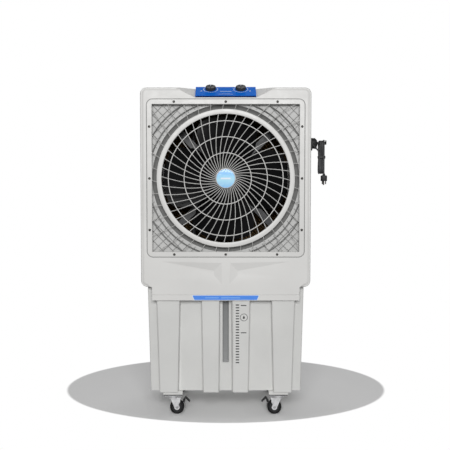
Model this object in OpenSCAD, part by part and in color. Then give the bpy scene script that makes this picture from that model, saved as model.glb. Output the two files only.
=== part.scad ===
// Evaporative cooler on casters: fan cabinet with pads on three sides, standing on a ribbed water tank.
// Millimetres. +Z is up, the front faces -Y, and the origin is on the floor under the middle.

/* [Cabinet] */
// Width of the cabinet at its top
cabinet_w = 727; // [700:1:900]
// How much narrower the cabinet is at its bottom
cabinet_taper = 0; // [0:1:16]
// Overall depth, from the badge to the back of the rear louvre
body_d = 540; // [460:1:660]
// Height of the cabinet's top above the floor
top_z = 1420; // [1412:1:1720]
// Height of the cabinet's underside above the floor
cabinet_z = 570; // [480:1:576]
// Radius of the cabinet's corners
corner_r = 27; // [16:1:34]
// Wall of the moulded shells
wall = 3.5; // [2.5:0.1:5]
// How far the front panel reaches back along the sides
return_d = 79.5; // [68:0.5:90]
// Width of the apron under the front panel
apron_w = 631; // [540:1:640]
// Drop of the apron below the cabinet
apron_h = 57; // [40:1:70]
// Depth of the moulded facets beside the nose
nose_deep = 8; // [3:0.5:12]

/* [Grille and fan] */
// Outer side of the square grille
grille_w = 667; // [540:1:680]
// Width of the grille's rim
rim_w = 20; // [16:1:26]
// Radius of the grille's outer corners
grille_r = 24; // [12:1:30]
// Height of the fan's axis
fan_z = 1035; // [1026:1:1100]
// Number of spokes inside the heavy ring
spokes = 44; // [24:2:60]
// Number of spokes outside it
outer_spokes = 36; // [24:4:48]
// Width of a spoke
spoke_w = 4.6; // [3:0.1:6]
// Radius of the fan's blades
blade_r = 270; // [220:1:272]
// Running gap between the blade tips and the duct
tip_gap = 16; // [6:1:24]
// Number of fan blades
blades = 4; // [3:1:6]
// Pitch of the blades in degrees
blade_pitch = 24; // [15:1:28]
// Radius of the fan's hub
hub_r = 50; // [40:1:60]
// Radius of the motor's shaft
shaft_r = 6; // [5:0.5:8]
// Radius of the motor
motor_r = 62; // [50:1:70]

/* [Tank] */
// Width of the tank at its top
tank_w = 676; // [560:1:700]
// Width of the tank at its bottom
tank_low_w = 655; // [600:1:690]
// Height of the tank's underside above the floor
tank_z = 108; // [104:1:140]
// Wall of the tank
tank_wall = 4.5; // [3:0.5:7]
// How far the ribs stand out of the tank's front
rib_deep = 35; // [20:1:40]
// Lean of the tank's front, from top to bottom
front_lean = 13; // [0:1:24]

/* [Casters] */
// Wheel diameter
wheel_d = 63; // [50:1:63]
// Wheel width
wheel_w = 24; // [18:1:26]
// Radius of the wheel's axle
axle_r = 4; // [3:0.5:5]
// Distance from the swivel axis to the axle
trail = 16; // [10:1:20]
// Side to side distance between the swivel axes
track = 460; // [380:1:480]
// Front to back distance between the swivel axes
wheelbase = 372; // [320:1:376]

/* [Controls] */
// Radius of a knob
knob_r = 23; // [18:0.5:24]
// Height of a knob
knob_h = 14; // [10:0.5:20]
// Distance between the knobs
knob_gap = 129; // [110:1:150]
// Width of the control panel
panel_w = 258; // [240:1:280]
// Thickness of the control panel
panel_t = 2.5; // [2:0.5:4]

/* [Clearances] */
// Radial clearance of a turning shaft in its bore
run_gap = 0.05; // [0.02:0.01:0.1]
// Gap between parts that seat beside each other
seat_gap = 0.5; // [0.2:0.1:1]
// Gap between a pad and the louvre in front of it
pad_gap = 2; // [1:0.5:3]

/* [Hidden] */
$fn = 48;

// Depth planes, front to back
badge_proud = 12;
front_y = -body_d / 2;
face_y = front_y + badge_proud;
back_y = body_d / 2;
return_y = face_y + return_d;
louvre_t = 16;
deck_t = 10;
deck_floor = 4;
pad_t = 40;
pillar_y = back_y - 8;
pillar_d = 57;
cabinet_low_w = cabinet_w - cabinet_taper;
side_x = cabinet_low_w / 2 - 1;

// Grille and duct
grille_depth = 10;
open_w = grille_w - 2 * rim_w;
heavy_out = open_w / 2 - 19.5;
heavy_in = heavy_out - 21;
ring_r = [heavy_in - 164, heavy_in - 96, heavy_in - 29];
ring_w = 5.5;
collar_r = 53;
badge_r = 40.5;
nose_base = fan_z - grille_w / 2 + 6;
spiral_start = 59.5;
spiral_phase = 2.4;
spiral_lean = 15.6;
screw_pitch = 219;
screw_off = grille_w / 2 - rim_w / 2;
screw_r = 3.6;
shank_r = 2.6;
post_x = (grille_w / 2 + cabinet_low_w / 2 - wall) / 2 - 4;
bore_r = blade_r + tip_gap;
flange_w = 17;
mouth_r = bore_r + 28.5;
mouth_edge = 21;
shroud_y = face_y + 30;
shroud_back = face_y + 152;
shroud_w = cabinet_low_w - 2 * wall - 14;
fan_y = face_y + 84;
hub_l = 60;
motor_y = fan_y + hub_l / 2 + 14;
motor_l = 110;
arm_w = 30;
arm_t = 5;

// Controls
panel_front_z = top_z - 44;
panel_lip = 8;
panel_d = 80;
panel_rise = 46;
panel_tilt = atan(panel_rise / panel_d);
knob_along = 64;
spindle_r = 3;
bush_r = 4.8;
switch_h = 24;
switch_w = 30;
switch_room = knob_gap / 2 + switch_w / 2 + 5;
scoop_half = 218;
scoop_low = panel_w / 2 + 2;

// Tank: levels and ribs
tank_top = cabinet_z;
back_lean = 8;
rib_y = face_y + 10;
tank_back = back_y - 30;
foot_w = 84;
foot_h = 14;
foot_z = tank_z - foot_h;
caster_mid = 6;
rib_outer_out = tank_w / 2 - 40;
rib_outer_in = rib_outer_out - 102;
rib_inner_in = 26.3;
rib_inner_out = 105;
rib_flare = 12;
label_w = 289;
label_h = 23;
label_z = cabinet_z - apron_h + label_h + 1;
window_w = 27;
window_low = 236;
window_high = 504;
mark_x = 43;
drain_r = 16;
drain_z = tank_z + 36;
drain_x = 180;
valve_x = 120;
valve_z = tank_top - 80;
valve_r = 9;
flange_h = 8;
spigot_r = 8.4;
spigot_l = 16;
arm_l = 130;
droop = 35;
pivot_y = tank_back - 60;
drain_y = tank_back + 4;
float_r = 38;

// Louvres, pads and water
cover_t = 14;
louvre_top = top_z - cover_t - seat_gap;
slats = 16;
pad_in = louvre_t + pad_gap;
side_win_y = [return_y + seat_gap, pillar_y - pillar_d - seat_gap];
rear_win = cabinet_low_w / 2 - 62;
side_w = side_win_y[1] - side_win_y[0];
pump_x = -150;
pump_y = 110;
hose_r = 9;
pump_top = tank_z + 132;
strainer_h = 22;
tray_z = top_z - 46;
tray_h = 22;
bridge_half = 9;

// Casters
pad_h = 6;
plate_t = 3;
plate_w = 76;
plate_l = 66;
plate_bolt_x = 58;
plate_bolt_y = 48;
bolt_r = 3.4;
plate_top = foot_z - pad_h;
race_r = 19;
race_h = 11;
king_r = 5;
crown_z = plate_top - plate_t - race_h;
crown_t = 3;
leg_t = 2.5;
leg_in = wheel_w / 2 + 1.5;
axle_z = wheel_d / 2;
pedal_x = 30;
pedal_z = axle_z + 27;
pedal_pin_r = 2.5;

// Cord: a hank hung on the cleat's peg, with its plug below
cord_d = 6.2;
cord_y = -205;
cord_sides = 8;
fold_top = 1176;
fold_low = 1076;
fold_r = 19;
layer_x = 400.6;
layer_step = 6.3;
hank_r = 25.5;
hank_y = cord_y - 3.2;
hank_x0 = 397.5;
hank_t = 25.1;
waist = 13;
peg_r = 6;
tail_x = layer_x + 3 * layer_step;
tail_y = cord_y - 25.3;
plug_top = 1048;
plug_h = 24;
lead_route = [
    [386.6, -224, 1163.4], [389, -224, 1161], [391.2, -224, 1158.7], [393.2, -224, 1156.5],
    [395.4, -223.9, 1153.7], [397.3, -223.5, 1150.6], [398.8, -222.9, 1147.3], [399.9, -221.9, 1143.8],
    [400.5, -220.8, 1140.2], [400.6, -219.6, 1136],
];
tail_route = [
    [419.5, -230.3, 1072], [419.5, -230.3, 1069], [419.5, -230.3, 1066], [419.5, -230.3, 1063],
    [419.5, -230.3, 1059.5], [419.5, -230.3, 1056],
];

// Half the cabinet's width at a height
function half_w(z) = cabinet_low_w / 2 + cabinet_taper / 2 * (z - cabinet_z) / (top_z - cabinet_z);
// How far along the tank's height a level is, 0 at the bottom and 1 at the top
function tank_share(z) = (z - tank_z) / (tank_top - tank_z);
// Front face of the ribs at a height
function rib_face(z) = rib_y + front_lean * (1 - tank_share(z));
// Rear face of the tank at a height
function tank_rear(z) = tank_back - back_lean * (1 - tank_share(z));
// Angle of the spiral spokes at a radius
function spiral(r) = spiral_phase + spiral_lean * ln(r / spiral_start);

// Turns a flat outline drawn in X and Z into a plate from y0 to y1
module upright(y0, y1) {
    translate([0, y1, 0]) rotate([90, 0, 0]) linear_extrude(y1 - y0) children();
}

// Turns an outline drawn in Y and Z into a bar from x0 to x1
module sideways(x0, x1) {
    translate([x0, 0, 0]) rotate([90, 0, 90]) linear_extrude(x1 - x0) children();
}

// Cylinder along Y from y0 to y1
module round_y(x, z, y0, y1, r, fn = 48) {
    translate([x, y1, z]) rotate([90, 0, 0]) cylinder(h = y1 - y0, r = r, $fn = fn);
}

module block(low, high) {
    translate(low) cube(high - low);
}

module round_square(w, h, r) {
    square([w, h - 2 * r], center = true);
    square([w - 2 * r, h], center = true);
    for (sx = [-1, 1], sz = [-1, 1]) translate([sx * (w / 2 - r), sz * (h / 2 - r)]) circle(r);
}

// Front view of the cabinet, narrower at the bottom, pulled in by inset
module cabinet_outline(inset) {
    r = corner_r - min(inset, corner_r - 2);
    hull() {
        for (s = [-1, 1]) {
            translate([s * (half_w(top_z) - inset - r), top_z - inset - r]) circle(r, $fn = 32);
            translate([s * (half_w(cabinet_z) - inset - r), cabinet_z + inset + r]) circle(r, $fn = 32);
        }
    }
}

// Sloping hollow in the top for the control panel, grown by grow
module scoop(grow) {
    low = panel_front_z - grow;
    high = top_z + 1;
    back = face_y + panel_d + grow;
    hull() {
        block([-scoop_low - grow, face_y - 1, low], [scoop_low + grow, face_y - 0.9, low + 1]);
        block([-scoop_half - grow, face_y - 1, high - 1], [scoop_half + grow, face_y - 0.9, high]);
        block([-scoop_low - grow, back - 1, high - 1 - grow], [scoop_low + grow, back, high]);
    }
}

// Shallow hollow beside the nose, on the side of sign s
module nose_facet(s) {
    hull() {
        for (p = [[286, -24.5], [16, -31.5], [14, -129], [300, -100]])
            translate([s * p[0], face_y - 1, nose_base + p[1]]) cube([1, 1, 1], center = true);
        for (p = [[51, -68], [51, -87]])
            translate([s * p[0], face_y + nose_deep, nose_base + p[1]]) cube([1, 1, 1], center = true);
    }
}

module front_panel() {
    apron_top = cabinet_z + corner_r + 10;
    apron_low = cabinet_z - apron_h;
    through = open_w + 6;
    color([0.84, 0.84, 0.83]) difference() {
        union() {
            upright(face_y, return_y) cabinet_outline(0);
            block([-apron_w / 2, face_y, apron_low], [apron_w / 2, face_y + wall, apron_top]);
        }
        // The hollow behind the face, less the scoop's floor, the backing of the nose and the shroud's posts
        difference() {
            upright(face_y + wall, return_y + 1) cabinet_outline(wall);
            scoop(wall);
            block([-320, face_y, cabinet_z], [320, face_y + nose_deep + wall, nose_base - 22]);
            for (sx = [-1, 1], z = [-240, 0, 240])
                round_y(sx * post_x, fan_z + z, face_y, shroud_y, 8);
        }
        scoop(0);
        for (s = [-1, 1]) nose_facet(s);
        upright(face_y - 1, face_y + wall + 1) translate([0, fan_z]) round_square(through, through, 2);
        upright(face_y - 1, face_y + 2) translate([0, fan_z])
            round_square(grille_w + 2 * seat_gap, grille_w + 2 * seat_gap, grille_r + seat_gap);
        for (i = [-1 : 1], s = [-1, 1]) {
            round_y(i * screw_pitch, fan_z + s * screw_off, face_y, face_y + wall + 1, shank_r);
            round_y(s * screw_off, fan_z + i * screw_pitch, face_y, face_y + wall + 1, shank_r);
        }
        // Room for the switches under the control panel, and the open underside over the tank
        on_panel(0) block([-switch_room, -24, -60], [switch_room, 20, 5]);
        block([-apron_w / 2 + 20, face_y + 14, cabinet_z - 1],
              [apron_w / 2 - 20, return_y + 1, cabinet_z + wall + 1]);
    }
}

module top_cover() {
    color([0.84, 0.84, 0.83]) difference() {
        block([-side_x, return_y + seat_gap, top_z - cover_t], [side_x, pillar_y, top_z - 2]);
        block([-side_x + 8, return_y + 8, top_z - cover_t - 1], [side_x - 8, pillar_y - 8, top_z - 6]);
        // Notch over the switches
        block([-switch_room, return_y, top_z - cover_t - 1], [switch_room, return_y + 9, top_z - 6]);
    }
}

module base_deck() {
    color([0.8, 0.8, 0.8]) difference() {
        block([-side_x, return_y + seat_gap, cabinet_z], [side_x, pillar_y, cabinet_z + deck_t]);
        block([-side_x + 6, return_y + 6, cabinet_z + deck_floor],
              [side_x - 6, pillar_y - 6, cabinet_z + deck_t + 1]);
        // Way for the pipe, and slots that let the water back into the tank
        translate([pump_x, pump_y, cabinet_z - 1]) cylinder(h = deck_t + 2, r = hose_r + 6);
        for (x = [-240 : 80 : 240])
            block([x - 25, pillar_y - 40, cabinet_z - 1], [x + 25, pillar_y - 28, cabinet_z + deck_t + 1]);
    }
}

module rear_pillars() {
    low = cabinet_z + deck_t;
    high = top_z - cover_t;
    color([0.84, 0.84, 0.83]) for (s = [-1, 1]) scale([s, 1, 1]) difference() {
        block([rear_win, pillar_y - pillar_d, low], [side_x, pillar_y, high]);
        block([rear_win - 1, pillar_y - pillar_d - 1, low - 1],
              [side_x - 2 * wall, pillar_y - 2 * wall, high + 1]);
    }
}

// Places things on the control panel: z = 0 on its slope, at the knob's centre
module on_panel(x) {
    translate([x, face_y + knob_along * cos(panel_tilt),
               panel_front_z + panel_lip + knob_along * sin(panel_tilt)])
        rotate([panel_tilt, 0, 0]) children();
}

// Height of the scoop's floor at a depth
function scoop_floor(y) = panel_front_z + (y - face_y + 0.9) * (top_z - panel_front_z) / (panel_d - 0.1);

module control_panel() {
    f = face_y + 0.4;
    b = face_y + panel_d - 1.2;
    lip_z = panel_front_z + panel_lip;
    back_z = lip_z + (b - face_y) * tan(panel_tilt);
    t = panel_t / cos(panel_tilt);
    color([0.1, 0.34, 0.75]) difference() {
        sideways(-panel_w / 2, panel_w / 2)
            polygon([[f, scoop_floor(f) + 0.1], [b, scoop_floor(b) + 0.1], [b, back_z], [f, lip_z]]);
        sideways(-panel_w / 2 + panel_t, panel_w / 2 - panel_t)
            polygon([[f + panel_t, panel_front_z - 5], [b - panel_t, panel_front_z],
                [b - panel_t, back_z - t - 1.5],
                     [f + panel_t, lip_z - t + 1.5]]);
        for (s = [-1, 1]) on_panel(s * knob_gap / 2) translate([0, 0, -12])
            cylinder(h = 20, r = bush_r + 0.2);
    }
}

module rotary_switches() {
    color([0.2, 0.2, 0.2]) for (s = [-1, 1]) on_panel(s * knob_gap / 2) difference() {
        union() {
            translate([0, 0, -panel_t - 3]) cylinder(h = panel_t + 3.5, r = bush_r);
            translate([0, 0, -panel_t - 1.7 - switch_h / 2]) cube([switch_w, switch_w, switch_h],
                center = true);
        }
        translate([0, 0, -24]) cylinder(h = 30, r = spindle_r + run_gap);
    }
}

module knob() {
    color([0.08, 0.08, 0.09]) union() {
        difference() {
            translate([0, 0, 1]) cylinder(h = knob_h - 1, r1 = knob_r, r2 = knob_r - 2);
            translate([0, 0, knob_h - 1]) cube([knob_r * 1.5, 2.4, 2.5], center = true);
        }
        translate([0, 0, -20]) cylinder(h = 24, r = spindle_r);
    }
}
module speed_knob() { on_panel(-knob_gap / 2) knob(); }
module pump_knob() { on_panel(knob_gap / 2) knob(); }

// One curved spoke between two radii, as a flat outline
module spoke(r0, r1, steps) {
    side = [for (i = [0 : steps]) let (r = r0 + (r1 - r0) * i / steps) [r, spiral(r)]];
    half = [for (p = side) asin(spoke_w / 2 / p[0])];
    polygon(concat(
        [for (i = [0 : steps]) side[i][0] * [sin(side[i][1] - half[i]), cos(side[i][1] - half[i])]],
        [for (i = [steps : -1 : 0]) side[i][0] * [sin(side[i][1] + half[i]), cos(side[i][1] + half[i])]]));
}

module flat_ring(r0, r1) {
    difference() { circle(r1, $fn = 96); circle(r0, $fn = 96); }
}

module grille() {
    y0 = face_y + 0.5;
    color([0.83, 0.83, 0.82]) union() {
        upright(face_y - 2, face_y + 2) translate([0, fan_z]) difference() {
            round_square(grille_w, grille_w, grille_r);
            round_square(open_w, open_w, 8);
            for (i = [-1 : 1], s = [-1, 1]) {
                translate([i * screw_pitch, s * screw_off]) circle(screw_r);
                translate([s * screw_off, i * screw_pitch]) circle(screw_r);
            }
        }
        upright(y0, y0 + grille_depth) translate([0, fan_z]) {
            flat_ring(heavy_in, heavy_out);
            circle(collar_r);
        }
        upright(y0 + 1, y0 + 7) translate([0, fan_z]) for (r = ring_r)
            flat_ring(r - ring_w / 2, r + ring_w / 2);
        upright(y0 + 1.5, y0 + 7.5) translate([0, fan_z]) {
            for (i = [0 : spokes - 1]) rotate(i * 360 / spokes) spoke(collar_r - 2, heavy_in + 4, 5);
            intersection() {
                for (i = [0 : outer_spokes - 1]) rotate(i * 360 / outer_spokes)
                    spoke(heavy_out - 3, 450, 3);
                square(open_w + 5, center = true);
            }
        }
        // Ledge behind the rim that carries the outer spokes
        upright(face_y + 1.5, y0 + 8) translate([0, fan_z]) difference() {
            square(open_w + 4, center = true);
            square(open_w - 1, center = true);
        }
    }
}

module grille_badge() {
    color([0.45, 0.74, 0.95]) {
        round_y(0, fan_z, front_y, face_y - 3, badge_r, 64);
        round_y(0, fan_z, face_y - 3, face_y + 0.5, badge_r - 4, 64);
    }
}

module grille_screws() {
    color([0.25, 0.25, 0.25]) for (i = [-1 : 1], s = [-1, 1]) {
        for (p = [[i * screw_pitch, s * screw_off], [s * screw_off, i * screw_pitch]]) {
            round_y(p[0], fan_z + p[1], face_y - 4.4, face_y - 2, 5.4);
            round_y(p[0], fan_z + p[1], face_y - 2, face_y + wall + 4, shank_r);
        }
    }
}

module fan_shroud() {
    color([0.72, 0.72, 0.72]) union() {
        upright(shroud_y, shroud_y + wall) translate([0, fan_z]) difference() {
            square([shroud_w, 2 * (mouth_r + mouth_edge)], center = true);
            circle(mouth_r, $fn = 96);
        }
        translate([0, shroud_y, fan_z]) rotate([-90, 0, 0]) rotate_extrude($fn = 96) polygon([
            [mouth_r, 0], [mouth_r + wall, 0], [mouth_r + wall, wall * 2], [bore_r + wall, 30],
            [bore_r + wall, shroud_back - shroud_y - wall], [bore_r + flange_w,
                shroud_back - shroud_y - wall],
            [bore_r + flange_w, shroud_back - shroud_y], [bore_r, shroud_back - shroud_y], [bore_r, 27],
            [mouth_r, wall]]);
    }
}

// A blade's outline, drawn flat with the fan's axis at the origin
module blade_outline() {
    intersection() {
        circle(blade_r, $fn = 96);
        polygon([[-hub_r * 0.7, hub_r * 0.6], [-90, 120], [-140, 200], [-128, 290], [150, 290],
                 [146, 190], [84, 100], [hub_r * 0.7, hub_r * 0.6]]);
    }
}

module fan_rotor() {
    color([0.07, 0.07, 0.08]) translate([0, fan_y, fan_z]) difference() {
        union() {
            rotate([90, 0, 0]) translate([0, 0, -hub_l / 2]) cylinder(h = hub_l, r = hub_r, $fn = 64);
            for (i = [0 : blades - 1]) rotate([0, i * 360 / blades, 0]) rotate([0, 0, blade_pitch])
                rotate([90, 0, 0]) linear_extrude(3.5, center = true) blade_outline();
        }
        rotate([90, 0, 0]) translate([0, 0, -hub_l / 2 - 1]) cylinder(h = hub_l - 8, r = shaft_r);
    }
}

module fan_shaft() {
    color([0.6, 0.6, 0.62]) round_y(0, fan_z, fan_y - hub_l / 2 + 10, motor_y + motor_l - 20, shaft_r);
}

module motor_body() {
    color([0.3, 0.31, 0.33]) difference() {
        union() {
            round_y(0, fan_z, motor_y, motor_y + motor_l, motor_r, 64);
            round_y(0, fan_z, motor_y - 8, motor_y, 20);
            block([-24, motor_y + 54, fan_z + motor_r - 6], [24, motor_y + 100, fan_z + motor_r + 22]);
        }
        round_y(0, fan_z, motor_y - 9, motor_y + motor_l - 18, shaft_r + run_gap);
    }
}

// Clamp round the motor with four arms out to the duct's rear flange
module motor_bracket() {
    arm_out = bore_r + flange_w - 1;
    arm_y = shroud_back;
    color([0.5, 0.5, 0.52]) difference() {
        union() {
            round_y(0, fan_z, arm_y, arm_y + 26, motor_r + 4, 64);
            for (a = [45 : 90 : 315]) translate([0, 0, fan_z]) rotate([0, a, 0])
                block([motor_r + 1, arm_y, -arm_w / 2], [arm_out, arm_y + arm_t, arm_w / 2]);
        }
        round_y(0, fan_z, arm_y - 1, arm_y + 27, motor_r, 64);
        for (a = [45 : 90 : 315]) translate([0, 0, fan_z]) rotate([0, a, 0])
            round_y(bore_r + flange_w / 2, 0, arm_y - 1, arm_y + arm_t + 1, 3.4);
    }
}

module bracket_bolts() {
    color([0.6, 0.6, 0.6]) for (a = [45 : 90 : 315]) translate([0, 0, fan_z]) rotate([0, a, 0]) {
        round_y(bore_r + flange_w / 2, 0, shroud_back, shroud_back + arm_t, 3);
        round_y(bore_r + flange_w / 2, 0, shroud_back + arm_t, shroud_back + arm_t + 5, 6, 24);
    }
}

// A louvred frame drawn in a plane: w wide, from z0 to z1, its outer face at y = 0
module louvre(w, z0, z1) {
    pitch = (z1 - z0 - 24) / slats;
    difference() {
        block([-w / 2, 0, z0], [w / 2, louvre_t, z1]);
        block([-w / 2 + 16, -1, z0 + 16], [w / 2 - 16, louvre_t + 1, z1 - 16]);
    }
    for (i = [0 : slats - 1]) translate([0, 3, z0 + 16 + pitch * (i + 0.3)])
        rotate([-38, 0, 0]) block([-w / 2 + 15, 0, 0], [w / 2 - 15, 2.5, 20]);
    for (x = [-w / 6, w / 6]) block([x - 3, 1, z0 + 15], [x + 3, 5, z1 - 15]);
}

// Puts a frame drawn facing -Y on the side of sign s
module on_side(s) {
    mid = (side_win_y[0] + side_win_y[1]) / 2;
    translate([s * side_x, mid, 0]) rotate([0, 0, s * 90]) children();
}

module side_louvre(s) {
    color([0.8, 0.8, 0.79]) on_side(s) louvre(side_w, cabinet_z + deck_t, louvre_top);
}
module left_louvre() { side_louvre(-1); }
module right_louvre() { side_louvre(1); }
module rear_louvre() {
    color([0.8, 0.8, 0.79]) translate([0, back_y, 0]) rotate([0, 0, 180])
        louvre(2 * (rear_win - seat_gap), cabinet_z + deck_t, louvre_top);
}

module side_pad(s) {
    color([0.62, 0.45, 0.25]) on_side(s)
        block([-side_w / 2 + 8, pad_in, cabinet_z + deck_floor], [side_w / 2 - 8, pad_in + pad_t, tray_z]);
}
module left_pad() { side_pad(-1); }
module right_pad() { side_pad(1); }
module rear_pad() {
    half = side_x - pad_in - pad_t - 12;
    color([0.62, 0.45, 0.25]) block([-half, back_y - pad_in - pad_t, cabinet_z + deck_floor],
                                    [half, back_y - pad_in, tray_z]);
}

// Trough along the tops of the three pads, with drip holes
module water_distributor() {
    out = side_x - pad_in;
    in = out - pad_t - 4;
    y0 = side_win_y[0] + 6;
    y1 = back_y - pad_in - 2;
    color([0.75, 0.75, 0.75]) difference() {
        union() {
            for (s = [-1, 1]) scale([s, 1, 1]) block([in, y0, tray_z], [out, y1, tray_z + tray_h]);
            block([-out, y1 - pad_t - 4, tray_z], [out, y1, tray_z + tray_h]);
            translate([pump_x, pump_y, tray_z + 2]) cylinder(h = 18, r = hose_r + 5);
            block([-out, pump_y - bridge_half, tray_z + 2], [pump_x, pump_y + bridge_half, tray_z + 20]);
        }
        for (s = [-1, 1]) scale([s, 1, 1]) block([in + 2, y0 + 2, tray_z + 2],
            [out - 2, y1 - 2, tray_z + tray_h + 1]);
        block([-out + 2, y1 - pad_t - 2, tray_z + 2], [out - 2, y1 - 2, tray_z + tray_h + 1]);
        block([-out + 3, pump_y - bridge_half + 3, tray_z + 5],
            [pump_x, pump_y + bridge_half - 3, tray_z + 17]);
        translate([pump_x, pump_y, tray_z + 1]) cylinder(h = 12, r = hose_r);
        for (s = [-1, 1], y = [y0 + 20 : 40 : y1 - 60]) translate([s * (in + 22), y, tray_z - 1])
            cylinder(h = 4, r = 2.5);
    }
}

module supply_hose() {
    color([0.35, 0.35, 0.37]) difference() {
        translate([pump_x, pump_y, pump_top]) cylinder(h = tray_z + 9 - pump_top, r = hose_r);
        translate([pump_x, pump_y, pump_top - 1]) cylinder(h = tray_z + 11 - pump_top, r = hose_r - 2);
    }
}

module pump_body() {
    z0 = tank_z + tank_wall + strainer_h;
    color([0.15, 0.3, 0.55]) union() {
        translate([pump_x, pump_y, z0]) cylinder(h = 78, r = 42);
        translate([pump_x, pump_y, z0 + 78]) cylinder(h = pump_top - z0 - 78, r = hose_r + 1);
        block([pump_x - 52, pump_y - 18, z0], [pump_x + 52, pump_y + 18, z0 + 30]);
    }
}

module pump_strainer() {
    z0 = tank_z + tank_wall;
    color([0.2, 0.2, 0.22]) difference() {
        translate([pump_x, pump_y, z0]) cylinder(h = strainer_h, r = 50);
        translate([pump_x, pump_y, z0 + 3]) cylinder(h = strainer_h - 2, r = 46);
        for (a = [0 : 30 : 330]) translate([pump_x, pump_y, z0 + 12]) rotate([0, 0, a])
            block([40, -4, -7], [55, 4, 6]);
    }
}

// Slab of the tank between two levels: half widths and depths at the bottom and the top
module taper_box(low, high, z0, z1) {
    polyhedron([
        [low[0], low[2], z0], [low[1], low[2], z0], [low[1], low[3], z0], [low[0], low[3], z0],
        [high[0], high[2], z1], [high[1], high[2], z1], [high[1], high[3], z1], [high[0], high[3], z1]],
        [[0, 1, 2, 3], [4, 7, 6, 5], [0, 4, 5, 1], [1, 5, 6, 2], [2, 6, 7, 3], [3, 7, 4, 0]]);
}

// The tank's body and its four front ribs, pulled in by inset
module tank_form(inset, z0, z1) {
    low = tank_low_w / 2 - inset;
    high = tank_w / 2 - inset;
    low_y = rib_y + front_lean + rib_deep + inset;
    high_y = rib_y + rib_deep + inset;
    taper_box([-low, low, low_y, tank_back - back_lean - inset],
        [-high, high, high_y, tank_back - inset], z0, z1);
    for (s = [-1, 1], x = [[rib_outer_in, rib_outer_out], [rib_inner_in, rib_inner_out]]) {
        lean_out = x[1] > tank_w / 4 ? rib_flare : rib_flare * 0.65;
        lean_in = x[0] > tank_w / 4 ? rib_flare * 0.95 : rib_flare * 0.3;
        bottom = [x[0] + lean_in + inset, x[1] - lean_out - inset];
        top = [x[0] + inset, x[1] - inset];
        scale([s, 1, 1]) taper_box(
            [bottom[0], bottom[1], rib_y + front_lean + inset, low_y + 12],
            [top[0], top[1], rib_y + inset, high_y + 12], z0, z1);
    }
}

module water_tank() {
    color([0.8, 0.8, 0.79]) difference() {
        union() {
            tank_form(0, tank_z, tank_top);
            for (x = [-1, 1], y = [-1, 1]) translate([x * track / 2, y * wheelbase / 2 + caster_mid,
                foot_z + foot_h / 2 + 1])
                cube([foot_w, foot_w, foot_h + 2], center = true);
            round_y(drain_x, drain_z, tank_back - 20, drain_y, drain_r + 8);
        }
        tank_form(tank_wall, tank_z + tank_wall, tank_top + 1);
        round_y(drain_x, drain_z, tank_back - 30, drain_y + 1, drain_r);
        round_y(valve_x, valve_z, tank_back - 30, tank_back + 5, valve_r);
        for (x = [-1, 1], y = [-1, 1]) translate([x * track / 2, y * wheelbase / 2 + caster_mid,
            foot_z - 1])
            caster_holes(foot_h - 2, bolt_r - 0.4);
        block([-window_w / 2, rib_y, window_low], [window_w / 2, rib_y + rib_deep + 40, window_high]);
    }
}
module level_window() {
    y0 = rib_y + rib_deep;
    lean = front_lean;
    color([0.55, 0.56, 0.57]) difference() {
        block([-window_w / 2 + 0.2, y0 + 1, window_low + 0.2],
            [window_w / 2 - 0.2, y0 + lean + 5, window_high - 0.2]);
        block([-window_w / 2 + 4, y0, window_low + 5], [window_w / 2 - 4, y0 + lean - 6, window_high - 5]);
    }
}

module level_marks() {
    color([0.2, 0.2, 0.2]) for (i = [0 : 21]) {
        z = window_low + 1 + i * 11.7;
        long = i % 5 == 0 ? 15 : 9;
        block([mark_x, rib_face(z) - 0.8, z - 0.9], [mark_x + long, rib_face(z) - 0.05, z + 0.9]);
    }
}

module label_strip() {
    color([0.25, 0.53, 0.92]) upright(face_y - 1.5, face_y) polygon([
        [-label_w / 2, label_z], [label_w / 2, label_z], [label_w / 2 - 8, label_z - label_h],
            [8 - label_w / 2, label_z - label_h]]);
}

// Threaded cap in the tank's drain, which unscrews to the rear
module drain_cap() {
    color([0.1, 0.1, 0.1]) union() {
        round_y(drain_x, drain_z, drain_y - 16, drain_y + 1, drain_r - run_gap);
        round_y(drain_x, drain_z, drain_y + 0.3, drain_y + 11, drain_r + 7);
        block([drain_x - 3, drain_y + 10, drain_z - 16], [drain_x + 3, drain_y + 18, drain_z + 16]);
    }
}

// Valve through the rear wall: its inlet spigot outside, and the arm's pivot inside
module float_valve() {
    wall_y = tank_rear(valve_z);
    color([0.9, 0.9, 0.88]) difference() {
        union() {
            round_y(valve_x, valve_z, pivot_y + 8, wall_y + flange_h, valve_r - 0.2);
            round_y(valve_x, valve_z, wall_y + 0.3, wall_y + flange_h, valve_r + 6, 24);
            round_y(valve_x, valve_z, wall_y + flange_h, wall_y + flange_h + spigot_l, spigot_r);
            for (s = [-1, 1])
                block([valve_x + s * 5 - 2, pivot_y - 6, valve_z - 8],
                    [valve_x + s * 5 + 2, pivot_y + 10, valve_z + 8]);
        }
        translate([valve_x - 12, pivot_y, valve_z]) rotate([0, 90, 0]) cylinder(h = 24, r = 2.5 + run_gap);
        round_y(valve_x, valve_z, pivot_y + 14, wall_y + flange_h + spigot_l + 1, 5);
    }
}

// Arm and ball, drooping onto the valve's stop as in an empty tank
module float_arm() {
    color([0.85, 0.45, 0.15]) translate([valve_x, pivot_y, valve_z]) rotate([droop, 0, 0]) union() {
        translate([-9, 0, 0]) rotate([0, 90, 0]) cylinder(h = 18, r = 2.5);
        block([-2, -arm_l + 30, -2.5], [2, 3, 2.5]);
        translate([0, -arm_l, 0]) sphere(float_r);
    }
}

module caster_holes(h, r) {
    for (x = [-1, 1], y = [-1, 1])
        translate([x * plate_bolt_x / 2, y * plate_bolt_y / 2, 0]) cylinder(h = h, r = r);
}

// Places a caster's pieces: sx and sy pick the corner, and +X there points to the middle
module at_caster(sx, sy) {
    translate([sx * track / 2, sy * wheelbase / 2 + caster_mid, 0]) scale([-sx, 1, 1]) children();
}

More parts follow.
